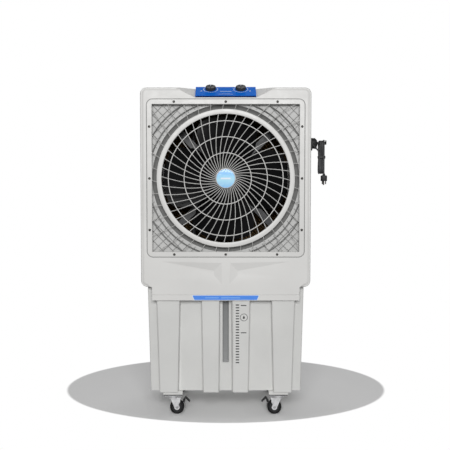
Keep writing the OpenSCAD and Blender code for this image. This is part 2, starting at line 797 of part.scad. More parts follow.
module every_caster() {
    for (sx = [-1, 1], sy = [-1, 1]) at_caster(sx, sy) children();
}

module caster_pads() {
    color([0.1, 0.1, 0.1]) every_caster() difference() {
        block([-plate_w / 2 - 2, -plate_l / 2 - 2, plate_top], [plate_w / 2 + 2, plate_l / 2 + 2, foot_z]);
        translate([0, 0, plate_top - 1]) caster_holes(pad_h + 2, bolt_r);
    }
}

module caster_plates() {
    color([0.72, 0.73, 0.75]) every_caster() difference() {
        union() {
            block([-plate_w / 2, -plate_l / 2, plate_top - plate_t], [plate_w / 2, plate_l / 2, plate_top]);
            translate([0, 0, crown_z + 0.6]) cylinder(h = race_h, r = race_r);
            translate([0, 0, crown_z - crown_t - 0.4]) cylinder(h = race_h, r = king_r);
            translate([0, 0, crown_z - crown_t - 2.6]) cylinder(h = 2.2, r = king_r + 3);
        }
        translate([0, 0, plate_top - plate_t - 1]) caster_holes(plate_t + 2, bolt_r);
    }
}

module caster_bolts() {
    color([0.6, 0.6, 0.62]) every_caster()
        for (x = [-1, 1], y = [-1, 1]) translate([x * plate_bolt_x / 2, y * plate_bolt_y / 2, 0]) {
            translate([0, 0, plate_top - plate_t]) cylinder(h = plate_t + pad_h + foot_h - 5, r = 3);
            translate([0, 0, plate_top - plate_t - 4]) cylinder(h = 4, r = 5.5, $fn = 6);
        }
}

// Swivelling fork: crown, two legs, and the cross pin of the brake pedal
module fork(braked) {
    color([0.72, 0.73, 0.75]) difference() {
        union() {
            translate([0, 0, crown_z - crown_t]) cylinder(h = crown_t, r = race_r + 4);
            block([-14, -leg_in - leg_t, crown_z - crown_t], [trail + 18, leg_in + leg_t, crown_z]);
            for (s = [-1, 1]) upright(s > 0 ? leg_in : -leg_in - leg_t, s > 0 ? leg_in + leg_t : -leg_in) {
                polygon([[-14, crown_z], [trail - 12, axle_z], [trail + 12, axle_z],
                    [trail + 18, crown_z]]);
                translate([trail, axle_z]) circle(12);
                if (braked) polygon([[trail + 8, crown_z], [trail + 12, axle_z + 12],
                                     [trail + pedal_x + 4, pedal_z - 5],
                                         [trail + pedal_x + 4, pedal_z + 5], [trail + 16, crown_z]]);
            }
            if (braked) round_y(trail + pedal_x, pedal_z, -leg_in - 1, leg_in + 1, pedal_pin_r);
        }
        translate([0, 0, crown_z - crown_t - 1]) cylinder(h = crown_t + 2, r = king_r + run_gap);
        round_y(trail, axle_z, -leg_in - leg_t - 1, leg_in + leg_t + 1, axle_r + run_gap);
    }
}

module wheel() {
    half = wheel_w / 2;
    color([0.06, 0.06, 0.06]) translate([trail, 0, axle_z]) rotate([90, 0, 0]) rotate_extrude($fn = 64)
        polygon([
        [axle_r + run_gap, -half - 1], [9, -half - 1], [9, -half + 3], [20, -half + 3], [21, -half],
            [28, -half],
        [wheel_d / 2 - 0.8, -half + 2.5], [wheel_d / 2, -half + 6], [wheel_d / 2, half - 6],
            [wheel_d / 2 - 0.8, half - 2.5],
        [28, half], [21, half], [20, half - 3], [9, half - 3], [9, half + 1],
            [axle_r + run_gap, half + 1]]);
}

module axle() {
    y = leg_in + leg_t;
    color([0.6, 0.6, 0.62]) {
        round_y(trail, axle_z, -y - 4, y + 4, axle_r);
        round_y(trail, axle_z, -y - 4, -y, 7, 6);
        round_y(trail, axle_z, y, y + 5, 7, 6);
    }
}

// Foot pedal on the fork's cross pin, sloping down towards the middle
module pedal() {
    half = leg_in - 1;
    color([0.08, 0.08, 0.08]) translate([trail + pedal_x, 0, pedal_z]) difference() {
        union() {
            round_y(0, 0, -half, half, 5.2);
            upright(-half, half) polygon([[-3, 3], [3, 13], [8, 17], [27, -2], [26, -5], [23, -4],
                [8, 11], [5, 0]]);
        }
        round_y(0, 0, -half - 1, half + 1, pedal_pin_r + run_gap);
    }
}

module front_left_fork() { at_caster(-1, -1) fork(true); }
module front_right_fork() { at_caster(1, -1) fork(true); }
module rear_left_fork() { at_caster(-1, 1) fork(false); }
module rear_right_fork() { at_caster(1, 1) fork(false); }
module front_left_wheel() { at_caster(-1, -1) wheel(); }
module front_right_wheel() { at_caster(1, -1) wheel(); }
module rear_left_wheel() { at_caster(-1, 1) wheel(); }
module rear_right_wheel() { at_caster(1, 1) wheel(); }
module front_left_axle() { at_caster(-1, -1) axle(); }
module front_right_axle() { at_caster(1, -1) axle(); }
module rear_left_axle() { at_caster(-1, 1) axle(); }
module rear_right_axle() { at_caster(1, 1) axle(); }
module left_brake_pedal() { at_caster(-1, -1) pedal(); }
module right_brake_pedal() { at_caster(1, -1) pedal(); }

// Cord outlet on the right side, with the peg that the hank hangs on
module cord_cleat() {
    x0 = half_w(fold_top) + 0.25;
    tip = lead_route[0];
    peg_z = fold_top + fold_r - cord_d / 2 - peg_r - 0.1;
    color([0.12, 0.12, 0.12]) difference() {
        union() {
            block([x0, cord_y - 37, fold_top - 22], [x0 + 5, cord_y + 15, fold_top + 28]);
            translate([x0 + 1, cord_y, peg_z]) rotate([0, 90, 0])
                cylinder(h = hank_x0 + hank_t + 9 - x0, r = peg_r);
            translate([hank_x0 + hank_t + 6, cord_y, peg_z + 3]) rotate([0, 90, 0])
                cylinder(h = 4, r = peg_r + 4);
            translate(tip) rotate([0, 135, 0]) translate([0, 0, -26]) cylinder(h = 26, r1 = 10, r2 = 5.2);
        }
        block([x0 - 30, cord_y - 60, fold_top - 30], [x0, cord_y + 30, fold_top + 40]);
    }
}

// Round tube along a list of points
module tube(points, r, sides) {
    n = len(points);
    function flow(i) = let (d = points[min(i + 1, n - 1)] - points[max(i - 1, 0)]) d / norm(d);
    side = [0, 1, 0];
    rings = [for (i = [0 : n - 1]) let (t = flow(i), u = cross(t, side), k = u / norm(u))
        for (j = [0 : sides - 1]) points[i] + r * (cos(j * 360 / sides) * k + sin(j * 360 / sides) * side)];
    polyhedron(rings, concat(
        [[for (j = [0 : sides - 1]) j]],
        [for (i = [0 : n - 2], j = [0 : sides - 1]) let (a = i * sides + j, b = i * sides + (j + 1) % sides)
            [a, a + sides, b + sides, b]],
        [[for (j = [sides - 1 : -1 : 0]) (n - 1) * sides + j]]));
}

module cord_lead() { color([0.2, 0.2, 0.2]) tube(lead_route, cord_d / 2, cord_sides); }
module cord_tail() { color([0.2, 0.2, 0.2]) tube(tail_route, cord_d / 2, cord_sides); }

module cord_hank() {
    mid = (fold_top + fold_low) / 2;
    color([0.2, 0.2, 0.2]) difference() {
        sideways(hank_x0, hank_x0 + hank_t) {
            translate([hank_y, fold_top]) circle(hank_r);
            translate([hank_y, fold_low]) circle(hank_r);
            polygon([[hank_y - hank_r, fold_top], [hank_y - waist, mid + 9], [hank_y - waist, mid - 9],
                     [hank_y - hank_r, fold_low], [hank_y + hank_r, fold_low], [hank_y + waist, mid - 9],
                     [hank_y + waist, mid + 9], [hank_y + hank_r, fold_top]]);
        }
        translate([hank_x0 - 1, cord_y, fold_top]) rotate([0, 90, 0])
            cylinder(h = hank_t + 2, r = fold_r - cord_d / 2);
    }
}

module cord_tie() {
    mid = (fold_top + fold_low) / 2;
    color([0.1, 0.1, 0.1]) difference() {
        block([hank_x0 - 1.5, hank_y - waist - 1.5, mid - 5], [hank_x0 + hank_t + 1.5,
            hank_y + waist + 1.5, mid + 5]);
        block([hank_x0, hank_y - waist, mid - 6], [hank_x0 + hank_t, hank_y + waist, mid + 6]);
    }
}

module plug_body() {
    color([0.1, 0.1, 0.1]) translate([tail_x, tail_y, plug_top]) union() {
        translate([0, 0, -plug_h]) linear_extrude(plug_h) round_square(26, 30, 8);
        cylinder(h = 8, r1 = 6.5, r2 = 4.8);
    }
}

module plug_pins() {
    z0 = plug_top - plug_h;
    color([0.8, 0.7, 0.4]) translate([tail_x, tail_y, z0]) {
        translate([0, 7, -17]) cylinder(h = 17, r = 3);
        for (s = [-1, 1]) translate([s * 7, -6, -13]) cylinder(h = 13, r = 2.4);
    }
}

front_panel();
top_cover();
base_deck();
rear_pillars();
control_panel();
rotary_switches();
speed_knob();
pump_knob();
grille();
grille_badge();
grille_screws();
fan_shroud();
fan_rotor();
fan_shaft();
motor_body();
motor_bracket();
bracket_bolts();
left_louvre();
right_louvre();
rear_louvre();
left_pad();
right_pad();
rear_pad();
water_distributor();
supply_hose();
pump_body();
pump_strainer();
float_valve();
float_arm();
water_tank();
level_window();
level_marks();
label_strip();
drain_cap();
caster_pads();
caster_plates();
caster_bolts();
front_left_fork();
front_right_fork();
rear_left_fork();
rear_right_fork();
front_left_wheel();
front_right_wheel();
rear_left_wheel();
rear_right_wheel();
front_left_axle();
front_right_axle();
rear_left_axle();
rear_right_axle();
left_brake_pedal();
right_brake_pedal();
cord_cleat();
cord_lead();
cord_hank();
cord_tail();
cord_tie();
plug_body();
plug_pins();
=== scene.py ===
import math

import bmesh
import bpy
from mathutils import Matrix, Vector


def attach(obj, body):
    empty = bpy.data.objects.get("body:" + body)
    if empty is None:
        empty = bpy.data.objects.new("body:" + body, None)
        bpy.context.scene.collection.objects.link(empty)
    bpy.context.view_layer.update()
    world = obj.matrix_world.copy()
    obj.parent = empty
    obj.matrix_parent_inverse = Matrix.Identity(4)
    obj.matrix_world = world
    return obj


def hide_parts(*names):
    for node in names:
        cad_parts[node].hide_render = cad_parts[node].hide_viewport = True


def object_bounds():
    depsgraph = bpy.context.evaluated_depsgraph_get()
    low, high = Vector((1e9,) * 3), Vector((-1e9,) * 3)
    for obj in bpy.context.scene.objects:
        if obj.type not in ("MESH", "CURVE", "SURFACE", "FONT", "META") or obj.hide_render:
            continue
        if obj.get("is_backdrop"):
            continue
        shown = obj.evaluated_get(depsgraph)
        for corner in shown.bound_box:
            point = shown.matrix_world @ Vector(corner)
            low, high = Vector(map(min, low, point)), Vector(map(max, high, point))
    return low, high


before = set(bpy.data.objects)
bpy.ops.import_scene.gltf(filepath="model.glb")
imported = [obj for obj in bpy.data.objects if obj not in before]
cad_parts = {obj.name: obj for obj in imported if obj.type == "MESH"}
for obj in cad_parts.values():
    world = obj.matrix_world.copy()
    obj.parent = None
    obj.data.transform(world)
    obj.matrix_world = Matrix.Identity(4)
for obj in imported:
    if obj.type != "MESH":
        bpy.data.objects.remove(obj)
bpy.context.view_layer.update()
scene = bpy.context.scene
mm = 0.001
fanZ = 1035  # height of the fan's axis, in millimetres as all sizes of the pieces are
faceY = -258  # the cabinet's flat front
fanAxis = (0, 1, 0)

# The camera stands level with the fan, a little over three metres in front
studio = {
    "cameraPlace": (0, -3.658, 1.035),
    "tiltDown": 3.33,
    "lens": 64,
    "shiftX": -0.0016,
    "skyLight": 0.24,
    "lights": {  # place, target, width, height, power
        "frontSoftbox": ((0, -7, 2.8), (0, 0, 0.7), 3.0, 2.2, 345),
        "sideFill": ((1.9, -4.2, 1.2), (0, 0, 0.7), 1.6, 1.8, 4),
        "topSoftbox": ((0, 2.3, 3.0), (0, 0.2, 0.8), 2.4, 2.0, 18),
    },
    "discGrey": 0.92,
    "discStretch": 0.785,
    "discMiddle": 0.295,
    "discEdge": (0.61, 0.62),
}


def areaLight(name, place, target, width, height, power):
    light = bpy.data.lights.new(name, "AREA")
    light.shape = "RECTANGLE"
    light.size, light.size_y, light.energy = width, height, power
    lamp = bpy.data.objects.new(name, light)
    lamp.location = place
    lamp.rotation_euler = (Vector(target) - Vector(place)).to_track_quat("-Z", "Y").to_euler()
    scene.collection.objects.link(lamp)


camera = bpy.data.objects.new("camera", bpy.data.cameras.new("camera"))
camera.data.lens = studio["lens"]
camera.data.sensor_width = 36
camera.data.shift_x = studio["shiftX"]
camera.location = studio["cameraPlace"]
camera.rotation_euler = (math.radians(90 - studio["tiltDown"]), 0, 0)
scene.collection.objects.link(camera)
scene.camera = camera
scene.view_settings.view_transform = "Standard"

for lightName, setting in studio["lights"].items():
    areaLight(lightName, *setting)


# Small tools shared by the pieces

def meshObject(name, bm, finish, slotName, replaced=(), body="housing", smoothAngle=32):
    mesh = bpy.data.meshes.new(name)
    bm.to_mesh(mesh)
    bm.free()
    mesh.shade_smooth()
    mesh.set_sharp_from_angle(angle=math.radians(smoothAngle))
    piece = bpy.data.objects.new(name, mesh)
    scene.collection.objects.link(piece)
    piece.data.materials.append(finishes[finish])
    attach(piece, body)
    if replaced:
        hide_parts(*replaced)
    return piece


def millimetres(bm):
    bmesh.ops.scale(bm, vec=(mm, mm, mm), verts=bm.verts)
    bmesh.ops.recalc_face_normals(bm, faces=bm.faces)
    return bm


def ownPiece(name, bm, *settings, **more):
    # a piece modelled here in millimetres
    return meshObject(name, millimetres(bm), *settings, **more)


def cadCopy(node):
    bm = bmesh.new()
    bm.from_mesh(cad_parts[node].data)
    bmesh.ops.remove_doubles(bm, verts=bm.verts, dist=2e-6)
    bmesh.ops.dissolve_limit(bm, angle_limit=math.radians(0.4), verts=bm.verts, edges=bm.edges)
    return bm


def softEdges(piece, width, segments=3, angle=28):
    bevel = piece.modifiers.new("softEdges", "BEVEL")
    bevel.width, bevel.segments = width * mm, segments
    bevel.limit_method = "ANGLE"
    bevel.angle_limit = math.radians(angle)
    bevel.use_clamp_overlap = False
    bevel.harden_normals = True
    bevel.miter_outer = "MITER_ARC"
    return piece


def softCopy(name, node, finish, slotName, width, segments=3, angle=28, body="housing"):
    # a CAD piece with its edges rounded
    piece = meshObject(name, cadCopy(node), finish, slotName, [node], body)
    return softEdges(piece, width, segments, angle)


def crease(piece, chosen):
    # keeps shallow facets crisp where the shading would blend them
    points = piece.data.vertices
    for edge in piece.data.edges:
        if chosen((points[edge.vertices[0]].co + points[edge.vertices[1]].co) / (2 * mm)):
            edge.use_edge_sharp = True


def bevelEdges(bm, edges, width, segments=3):
    bmesh.ops.bevel(bm, geom=list(edges), offset=width, offset_type="OFFSET", segments=segments,
                    profile=0.5, affect="EDGES", clamp_overlap=True, material=-1)


def edgesAlong(bm, axis, least):
    # edges whose ends lie further apart than least along an axis, 0 to 2
    return [e for e in bm.edges if abs(e.verts[0].co[axis] - e.verts[1].co[axis]) > least]


def edgesPast(bm, axis, limit, way=1):
    # edges wholly above the limit, or below it with a way of -1
    return [e for e in bm.edges if all(way * (v.co[axis] - limit) > 0 for v in e.verts)]


def edgesOf(verts):
    # in the order they are met, so each run bevels alike
    return dict.fromkeys(e for v in verts for e in v.link_edges)


def setDown(bm, verts, place, angle, axis="Y"):
    # turned about the origin first, then moved
    bmesh.ops.transform(bm, matrix=Matrix.Translation(place) @ Matrix.Rotation(angle, 4, axis), verts=verts)


def flatGrid(bm, across=1, along=1, size=0.5):
    return bmesh.ops.create_grid(bm, x_segments=across, y_segments=along, size=size)["verts"]


def roundBar(bm, start, end, radius, sides):
    start, end = Vector(start), Vector(end)
    made = bmesh.ops.create_cone(bm, cap_ends=True, segments=sides, radius1=radius, radius2=radius,
                                 depth=(end - start).length)
    turn = (end - start).to_track_quat("Z", "Y").to_matrix().to_4x4()
    bmesh.ops.transform(bm, matrix=Matrix.Translation((start + end) / 2) @ turn, verts=made["verts"])
    return made["verts"]


def boxBetween(bm, low, high):
    low, high = Vector(low), Vector(high)
    made = bmesh.ops.create_cube(bm, size=1)
    stretch = Matrix.Diagonal((*(high - low), 1))
    bmesh.ops.transform(bm, matrix=Matrix.Translation((low + high) / 2) @ stretch, verts=made["verts"])
    return made["verts"]


def spunShape(bm, outline, centre, axis, steps):
    # outline holds (radius, along) pairs, turned once round the axis through centre;
    # one that starts on the axis is left open there
    axis = Vector(axis).normalized()
    side = axis.orthogonal().normalized()
    verts = [bm.verts.new(Vector(centre) + side * r + axis * a) for r, a in outline]
    pairs = list(zip(verts, verts[1:])) + ([(verts[-1], verts[0])] if outline[0][0] else [])
    edges = [bm.edges.new(pair) for pair in pairs]
    bmesh.ops.spin(bm, geom=verts + edges, cent=centre, axis=axis, angle=math.tau, steps=steps,
                   use_merge=True)
    bmesh.ops.remove_doubles(bm, verts=bm.verts, dist=1e-4)


def tubeObject(name, lines, radius, finish, slotName, sides, flatten=None):
    # lines are lists of points in metres; the tube is made a mesh before it is placed
    curve = bpy.data.curves.new(name, "CURVE")
    curve.dimensions = "3D"
    curve.bevel_depth, curve.bevel_resolution, curve.use_fill_caps = radius * mm, sides, True
    for points, cyclic in lines:
        spline = curve.splines.new("POLY")
        spline.points.add(len(points) - 1)
        for point, place in zip(spline.points, points):
            point.co = (*place, 1)
        spline.use_cyclic_u = cyclic
    holder = bpy.data.objects.new(name + "Line", curve)
    scene.collection.objects.link(holder)
    bpy.context.view_layer.update()
    bm = bmesh.new()
    bm.from_mesh(holder.evaluated_get(bpy.context.evaluated_depsgraph_get()).to_mesh())
    bpy.data.objects.remove(holder)
    bpy.data.curves.remove(curve)
    bmesh.ops.remove_doubles(bm, verts=bm.verts, dist=1e-6)
    if flatten:
        middle, stretch = flatten
        for v in bm.verts:
            v.co.y = middle * mm + (v.co.y - middle * mm) * stretch
    bmesh.ops.recalc_face_normals(bm, faces=bm.faces)
    meshObject(name, bm, finish, slotName, smoothAngle=50)


# Finishes

def newFinish(name):
    finish = bpy.data.materials.new(name)
    finish.use_nodes = True
    tree = finish.node_tree
    place = tree.nodes.new("ShaderNodeTexCoord").outputs["Object"]
    return finish, tree, tree.nodes["Principled BSDF"], place


def addNode(tree, kind, values, **settings):
    # a number, colour or vector sets an input, and an output is linked to it
    node = tree.nodes.new("ShaderNode" + kind)
    for setting, choice in settings.items():
        setattr(node, setting, choice)
    for label, value in values.items():
        if isinstance(value, bpy.types.NodeSocket):
            tree.links.new(value, node.inputs[label])
        else:
            node.inputs[label].default_value = value
    return node


def noise(tree, place, scale, detail, roughness=0.5):
    values = {"Scale": scale, "Detail": detail, "Roughness": roughness, "Vector": place}
    node = addNode(tree, "TexNoise", values)
    return node.outputs["Fac"]


def ramp(tree, factor, stops):
    node = tree.nodes.new("ShaderNodeValToRGB")
    marks = node.color_ramp.elements
    while len(marks) < len(stops):
        marks.new(0.5)
    for mark, (at, shade) in zip(marks, stops):
        mark.position = at
        mark.color = (*shade, 1)
    tree.links.new(factor, node.inputs["Fac"])
    return node.outputs["Color"]


def span(tree, value, fromLow, fromHigh, toLow, toHigh):
    ends = {"From Min": fromLow, "From Max": fromHigh, "To Min": toLow, "To Max": toHigh}
    return addNode(tree, "MapRange", {**ends, "Value": value}).outputs["Result"]


def sums(tree, kind, first, second):
    return addNode(tree, "Math", {0: first, 1: second}, operation=kind).outputs["Value"]


def mixed(tree, factor, first, second):
    return addNode(tree, "Mix", {0: factor, 6: first, 7: (*second, 1)}, data_type="RGBA").outputs[2]


def raised(tree, shader, height, strength, distance):
    node = addNode(tree, "Bump", {"Strength": strength, "Distance": distance, "Height": height})
    tree.links.new(node.outputs["Normal"], shader.inputs["Normal"])


def heightOf(tree, place):
    return addNode(tree, "SeparateXYZ", {"Vector": place}).outputs["Z"]


def shaded(shade, by):
    return tuple(max(0.0, min(1.0, c * by)) for c in shade)


plasticLook = {"vary": 0.035, "dust": 0.25, "rough": (0.38, 0.52), "grain": 0.12, "grainScale": 1500,
               "specular": 0.45, "coat": 0}


def mouldedPlastic(name, changes):
    # faint cloudy flow marks, darker specks of dust, uneven polish and a fine spark grain
    look = {**plasticLook, **changes}
    finish, tree, shader, place = newFinish(name)
    shade, vary = look["shade"], look["vary"]
    cloud = noise(tree, place, 5, 4)
    base = ramp(tree, cloud, [(0.3, shaded(shade, 1 - vary)), (0.7, shaded(shade, 1 + vary))])
    dust = span(tree, noise(tree, place, 260, 3, 0.7), 0.66, 0.8, 0, look["dust"])
    base = mixed(tree, dust, base, shaded(shade, 0.72))
    tree.links.new(base, shader.inputs["Base Color"])
    polish = span(tree, noise(tree, place, 38, 3), 0.3, 0.7, *look["rough"])
    tree.links.new(polish, shader.inputs["Roughness"])
    raised(tree, shader, noise(tree, place, look["grainScale"], 2), look["grain"], 0.0004)
    shader.inputs["Specular IOR Level"].default_value = look["specular"]
    shader.inputs["Coat Weight"].default_value = look["coat"]
    shader.inputs["Coat Roughness"].default_value = 0.12
    return finish


metalLook = {"metal": 1, "stretch": (1, 1, 22), "low": 0.22, "high": 0.42}


def brushedMetal(name, changes):
    look = {**metalLook, **changes}
    finish, tree, shader, place = newFinish(name)
    shade = look["shade"]
    stretched = addNode(tree, "Mapping", {"Scale": look["stretch"], "Vector": place}).outputs["Vector"]
    lines = noise(tree, stretched, 180, 3)
    blotch = noise(tree, place, 60, 4)
    base = ramp(tree, blotch, [(0.3, shaded(shade, 0.82)), (0.55, shade), (0.75, shaded(shade, 1.08))])
    tree.links.new(base, shader.inputs["Base Color"])
    shader.inputs["Metallic"].default_value = look["metal"]
    worn = span(tree, sums(tree, "ADD", lines, blotch), 0.6, 1.4, look["low"], look["high"])
    tree.links.new(worn, shader.inputs["Roughness"])
    raised(tree, shader, lines, 0.08, 0.0003)
    return finish


plastics = {
    "cabinet": ("cabinetPlastic", {"shade": (0.69, 0.685, 0.67)}),
    "tank": ("tankPlastic", {"shade": (0.66, 0.66, 0.645), "rough": (0.42, 0.56)}),
    "grille": ("grillePlastic", {"shade": (0.66, 0.655, 0.64), "rough": (0.32, 0.44)}),
    "shroud": ("shroudPlastic", {"shade": (0.56, 0.56, 0.55), "rough": (0.5, 0.65)}),
    # dark grey: painted shadow for the grille's gap band and the shroud's ribs and arcs, and the colour of the wheel
    # straps
    "shroudLine": ("shroudShadow", {"shade": (0.27, 0.27, 0.265), "rough": (0.5, 0.65)}),
    "duct": ("ductGrey", {"shade": (0.27, 0.27, 0.264), "rough": (0.55, 0.7), "specular": 0.3}),
    "inner": ("innerPlastic", {"shade": (0.52, 0.52, 0.51)}),
    "louvre": ("louvrePlastic", {"shade": (0.64, 0.64, 0.625)}),
    "blue": ("bluePanel", {"shade": (0.002, 0.145, 0.66), "rough": (0.4, 0.5), "grain": 0.05,
                           "specular": 0.06, "dust": 0.1}),
    "navy": ("navyEdge", {"shade": (0.002, 0.016, 0.085), "rough": (0.55, 0.65), "specular": 0.1}),
    "label": ("labelBlue", {"shade": (0.075, 0.27, 0.86), "rough": (0.3, 0.4), "grain": 0.03,
                            "coat": 0.1, "dust": 0.08}),
    "rimWhite": ("paleRim", {"shade": (0.75, 0.82, 0.9), "rough": (0.3, 0.4), "grain": 0.05}),
    "printPale": ("printPale", {"shade": (0.62, 0.76, 0.95), "rough": (0.4, 0.5), "grain": 0.03}),
    "printMid": ("printMid", {"shade": (0.22, 0.46, 0.92), "rough": (0.4, 0.5), "grain": 0.03}),
    "printDark": ("printDark", {"shade": (0.045, 0.045, 0.05), "rough": (0.45, 0.55), "grain": 0.04}),
    "fan": ("fanBlack", {"shade": (0.0045, 0.0045, 0.005), "rough": (0.26, 0.38), "grain": 0.02,
                         "specular": 0.16, "dust": 0.1}),
    "knob": ("knobBlack", {"shade": (0.02, 0.021, 0.024), "rough": (0.3, 0.42), "grain": 0.08}),
    "black": ("blackPlastic", {"shade": (0.02, 0.02, 0.021), "rough": (0.42, 0.58), "specular": 0.3}),
    "rubber": ("cordRubber", {"shade": (0.06, 0.06, 0.063), "rough": (0.5, 0.66), "grain": 0.2,
                              "grainScale": 900}),
    "tyre": ("wheelRubber", {"shade": (0.008, 0.008, 0.0085), "rough": (0.5, 0.7), "grain": 0.22,
                             "grainScale": 800, "dust": 0.5, "specular": 0.2}),
    "hub": ("wheelHub", {"shade": (0.028, 0.028, 0.03), "rough": (0.4, 0.5), "specular": 0.3}),
    "pump": ("pumpBlue", {"shade": (0.03, 0.10, 0.30), "rough": (0.4, 0.55)}),
    "float": ("floatOrange", {"shade": (0.70, 0.20, 0.03), "rough": (0.4, 0.55)}),
    "hose": ("hoseRubber", {"shade": (0.07, 0.07, 0.075), "rough": (0.5, 0.6)}),
    # near-black: the motor's paint, and painted shade on its clamp
    "motor": ("motorPaintAndShade", {"shade": (0.03, 0.031, 0.034), "rough": (0.35, 0.5), "grainScale": 500,
                             "grain": 0.25}),
}
metals = {
    "screw": ("darkScrew", {"shade": (0.10, 0.095, 0.09), "low": 0.35, "high": 0.55}),
    "steel": ("brushedSteel", {"shade": (0.56, 0.56, 0.57)}),
    "zinc": ("zincPlate", {"shade": (0.80, 0.80, 0.81), "metal": 0.45, "stretch": (14, 1, 14),
                           "low": 0.24, "high": 0.46}),
}
finishes = {key: mouldedPlastic(*recipe) for key, recipe in plastics.items()}
finishes.update({key: brushedMetal(*recipe) for key, recipe in metals.items()})


def padPaper():
    # corrugated sheets laid at a slant: fine waves and small cells, brown with paler fibres, and near black where the
    # waves and cells dip, painted shade in the hollows
    finish, tree, shader, place = newFinish("padPaper")
    wave = addNode(tree, "TexWave", {"Scale": 34, "Distortion": 1.2, "Detail": 2, "Vector": place},
                   bands_direction="DIAGONAL")
    fibre = noise(tree, place, 420, 4, 0.7)
    cells = addNode(tree, "TexVoronoi", {"Scale": 150, "Vector": place})
    depth = sums(tree, "MULTIPLY", wave.outputs["Fac"], cells.outputs["Distance"])
    base = ramp(tree, depth, [(0.0, (0.018, 0.011, 0.005)), (0.3, (0.12, 0.07, 0.03)),
                              (0.8, (0.33, 0.21, 0.10))])
    base = mixed(tree, span(tree, fibre, 0.4, 0.8, 0, 0.5), base, (0.20, 0.13, 0.06))
    tree.links.new(base, shader.inputs["Base Color"])
    shader.inputs["Roughness"].default_value = 0.9
    shader.inputs["Specular IOR Level"].default_value = 0.2
    raised(tree, shader, depth, 0.9, 0.004)
    return finish


def glossyFade(name, ends, stops, cloud, roughness, coat):
    # shades that change with height, under a patchy cloud and a thin coat
    finish, tree, shader, place = newFinish(name)
    base = ramp(tree, span(tree, heightOf(tree, place), *ends, 0, 1), stops)
    scale, detail, low, high, most, shade = cloud
    patches = span(tree, noise(tree, place, scale, detail), low, high, 0, most)
    tree.links.new(mixed(tree, patches, base, shade), shader.inputs["Base Color"])
    scale, least, most = roughness
    polish = span(tree, noise(tree, place, scale, 2), 0.3, 0.7, least, most)
    tree.links.new(polish, shader.inputs["Roughness"])
    shader.inputs["Coat Weight"].default_value = coat
    return finish


finishes["paper"] = padPaper()
finishes["window"] = glossyFade("levelWindow", (0.24, 0.5), [
    (0, (0.31, 0.315, 0.315)), (0.85, (0.24, 0.245, 0.245)), (1, (0.19, 0.192, 0.192)),
], (60, 2, 0.4, 0.7, 0.15, (0.2, 0.2, 0.2)), (24, 0.12, 0.22), 0.15)
finishes["badge"] = glossyFade("badgeBlue", (0.998, 1.072), [
    (0, (0.30, 0.60, 0.93)), (0.42, (0.44, 0.78, 0.95)), (0.62, (0.30, 0.66, 0.92)),
    (0.8, (0.09, 0.42, 0.84)), (1, (0.10, 0.36, 0.74)),
], (60, 3, 0.5, 0.75, 0.35, (0.62, 0.86, 0.97)), (200, 0.18, 0.26), 0.12)
print("finishes made:", len(finishes))


# The mains lead: out of the side, four turns over a peg, tied, with the plug hanging below
lead = {"length": 1.43, "thick": 6.2, "middleY": -205, "top": 1176, "low": 1076, "tie": 1126,
        "foldRadius": 19, "foldSteps": 12, "pinch": 12.5, "reach": 50, "firstX": 400.6, "firstTop": 1128,
        "firstPinch": 5.9, "firstReach": 30, "step": 6.3, "turns": 4, "spacing": 8, "aside": 1.6,
        "tailY": -230.3, "tailEnd": 1056}


def leadPoints():
    # the points out of the side are listed, and the turns are worked out
    route = [Vector(p) for p in [
        (0.3866, -0.224, 1.1634), (0.389, -0.224, 1.161), (0.3912, -0.224, 1.1587), (0.3932, -0.224, 1.1565),
        (0.3954, -0.2239, 1.1537), (0.3973, -0.2235, 1.1506), (0.3988, -0.2229, 1.1473),
        (0.3999, -0.2219, 1.1438), (0.4005, -0.2208, 1.1402), (0.4006, -0.2196, 1.136)]]

    def pinched(z, reach):
        return (1 + math.cos(math.pi * min(1, abs(z - lead["tie"]) / reach))) / 2

    def add(x, y, z):
        route.append(Vector((x, y, z)) * mm)

    middle, radius, spacing, steps = lead["middleY"], lead["foldRadius"], lead["spacing"], lead["foldSteps"]
    for turn in range(lead["turns"]):
        x = lead["firstX"] + lead["step"] * turn
        z = lead["top"] - spacing if turn else lead["firstTop"]
        pinch, reach = (lead["pinch"], lead["reach"]) if turn else (lead["firstPinch"], lead["firstReach"])
        while z > lead["low"] + spacing / 2:
            add(x, middle - radius + pinch * pinched(z, reach), z)
            z -= spacing
        for i in range(steps + 1):
            a = math.pi * i / steps
            add(x, middle - radius * math.cos(a), lead["low"] - radius * math.sin(a))
        for i in range(1, steps):
            z = lead["low"] + (lead["top"] - lead["low"]) * i / steps
            add(x, middle + radius - lead["pinch"] * pinched(z, lead["reach"]), z)
        last = turn == lead["turns"] - 1
        foldMiddle = (middle + radius + lead["tailY"]) / 2 if last else middle
        foldRadius = middle + radius - foldMiddle
        for i in range(steps + 1):
            a = math.pi * i / steps
            aside = lead["aside"] * math.sin(a) if last else lead["step"] * (1 - math.cos(a)) / 2
            add(x + aside, foldMiddle + foldRadius * math.cos(a), lead["top"] + foldRadius * math.sin(a))
    z = lead["top"] - spacing
    while z > lead["tailEnd"] + 3:
        add(x, lead["tailY"], z)
        z -= spacing
    add(x, lead["tailY"], lead["tailEnd"])
    return route


leadLine = bpy.data.curves.new("mainsLead", "CURVE")
leadLine.dimensions = "3D"
leadLine.bevel_depth, leadLine.bevel_resolution, leadLine.use_fill_caps = lead["thick"] / 2 * mm, 4, True
leadSpline = leadLine.splines.new("POLY")
leadRoute = leadPoints()
leadSpline.points.add(len(leadRoute) - 1)
for point, place in zip(leadSpline.points, leadRoute):
    point.co = (*place, 1)
leadSpline.use_smooth = True
mainsLead = bpy.data.objects.new("mainsLead", leadLine)
scene.collection.objects.link(mainsLead)
mainsLead.data.materials.append(finishes["rubber"])
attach(mainsLead, "housing")
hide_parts("cord_lead", "cord_hank", "cord_tail")

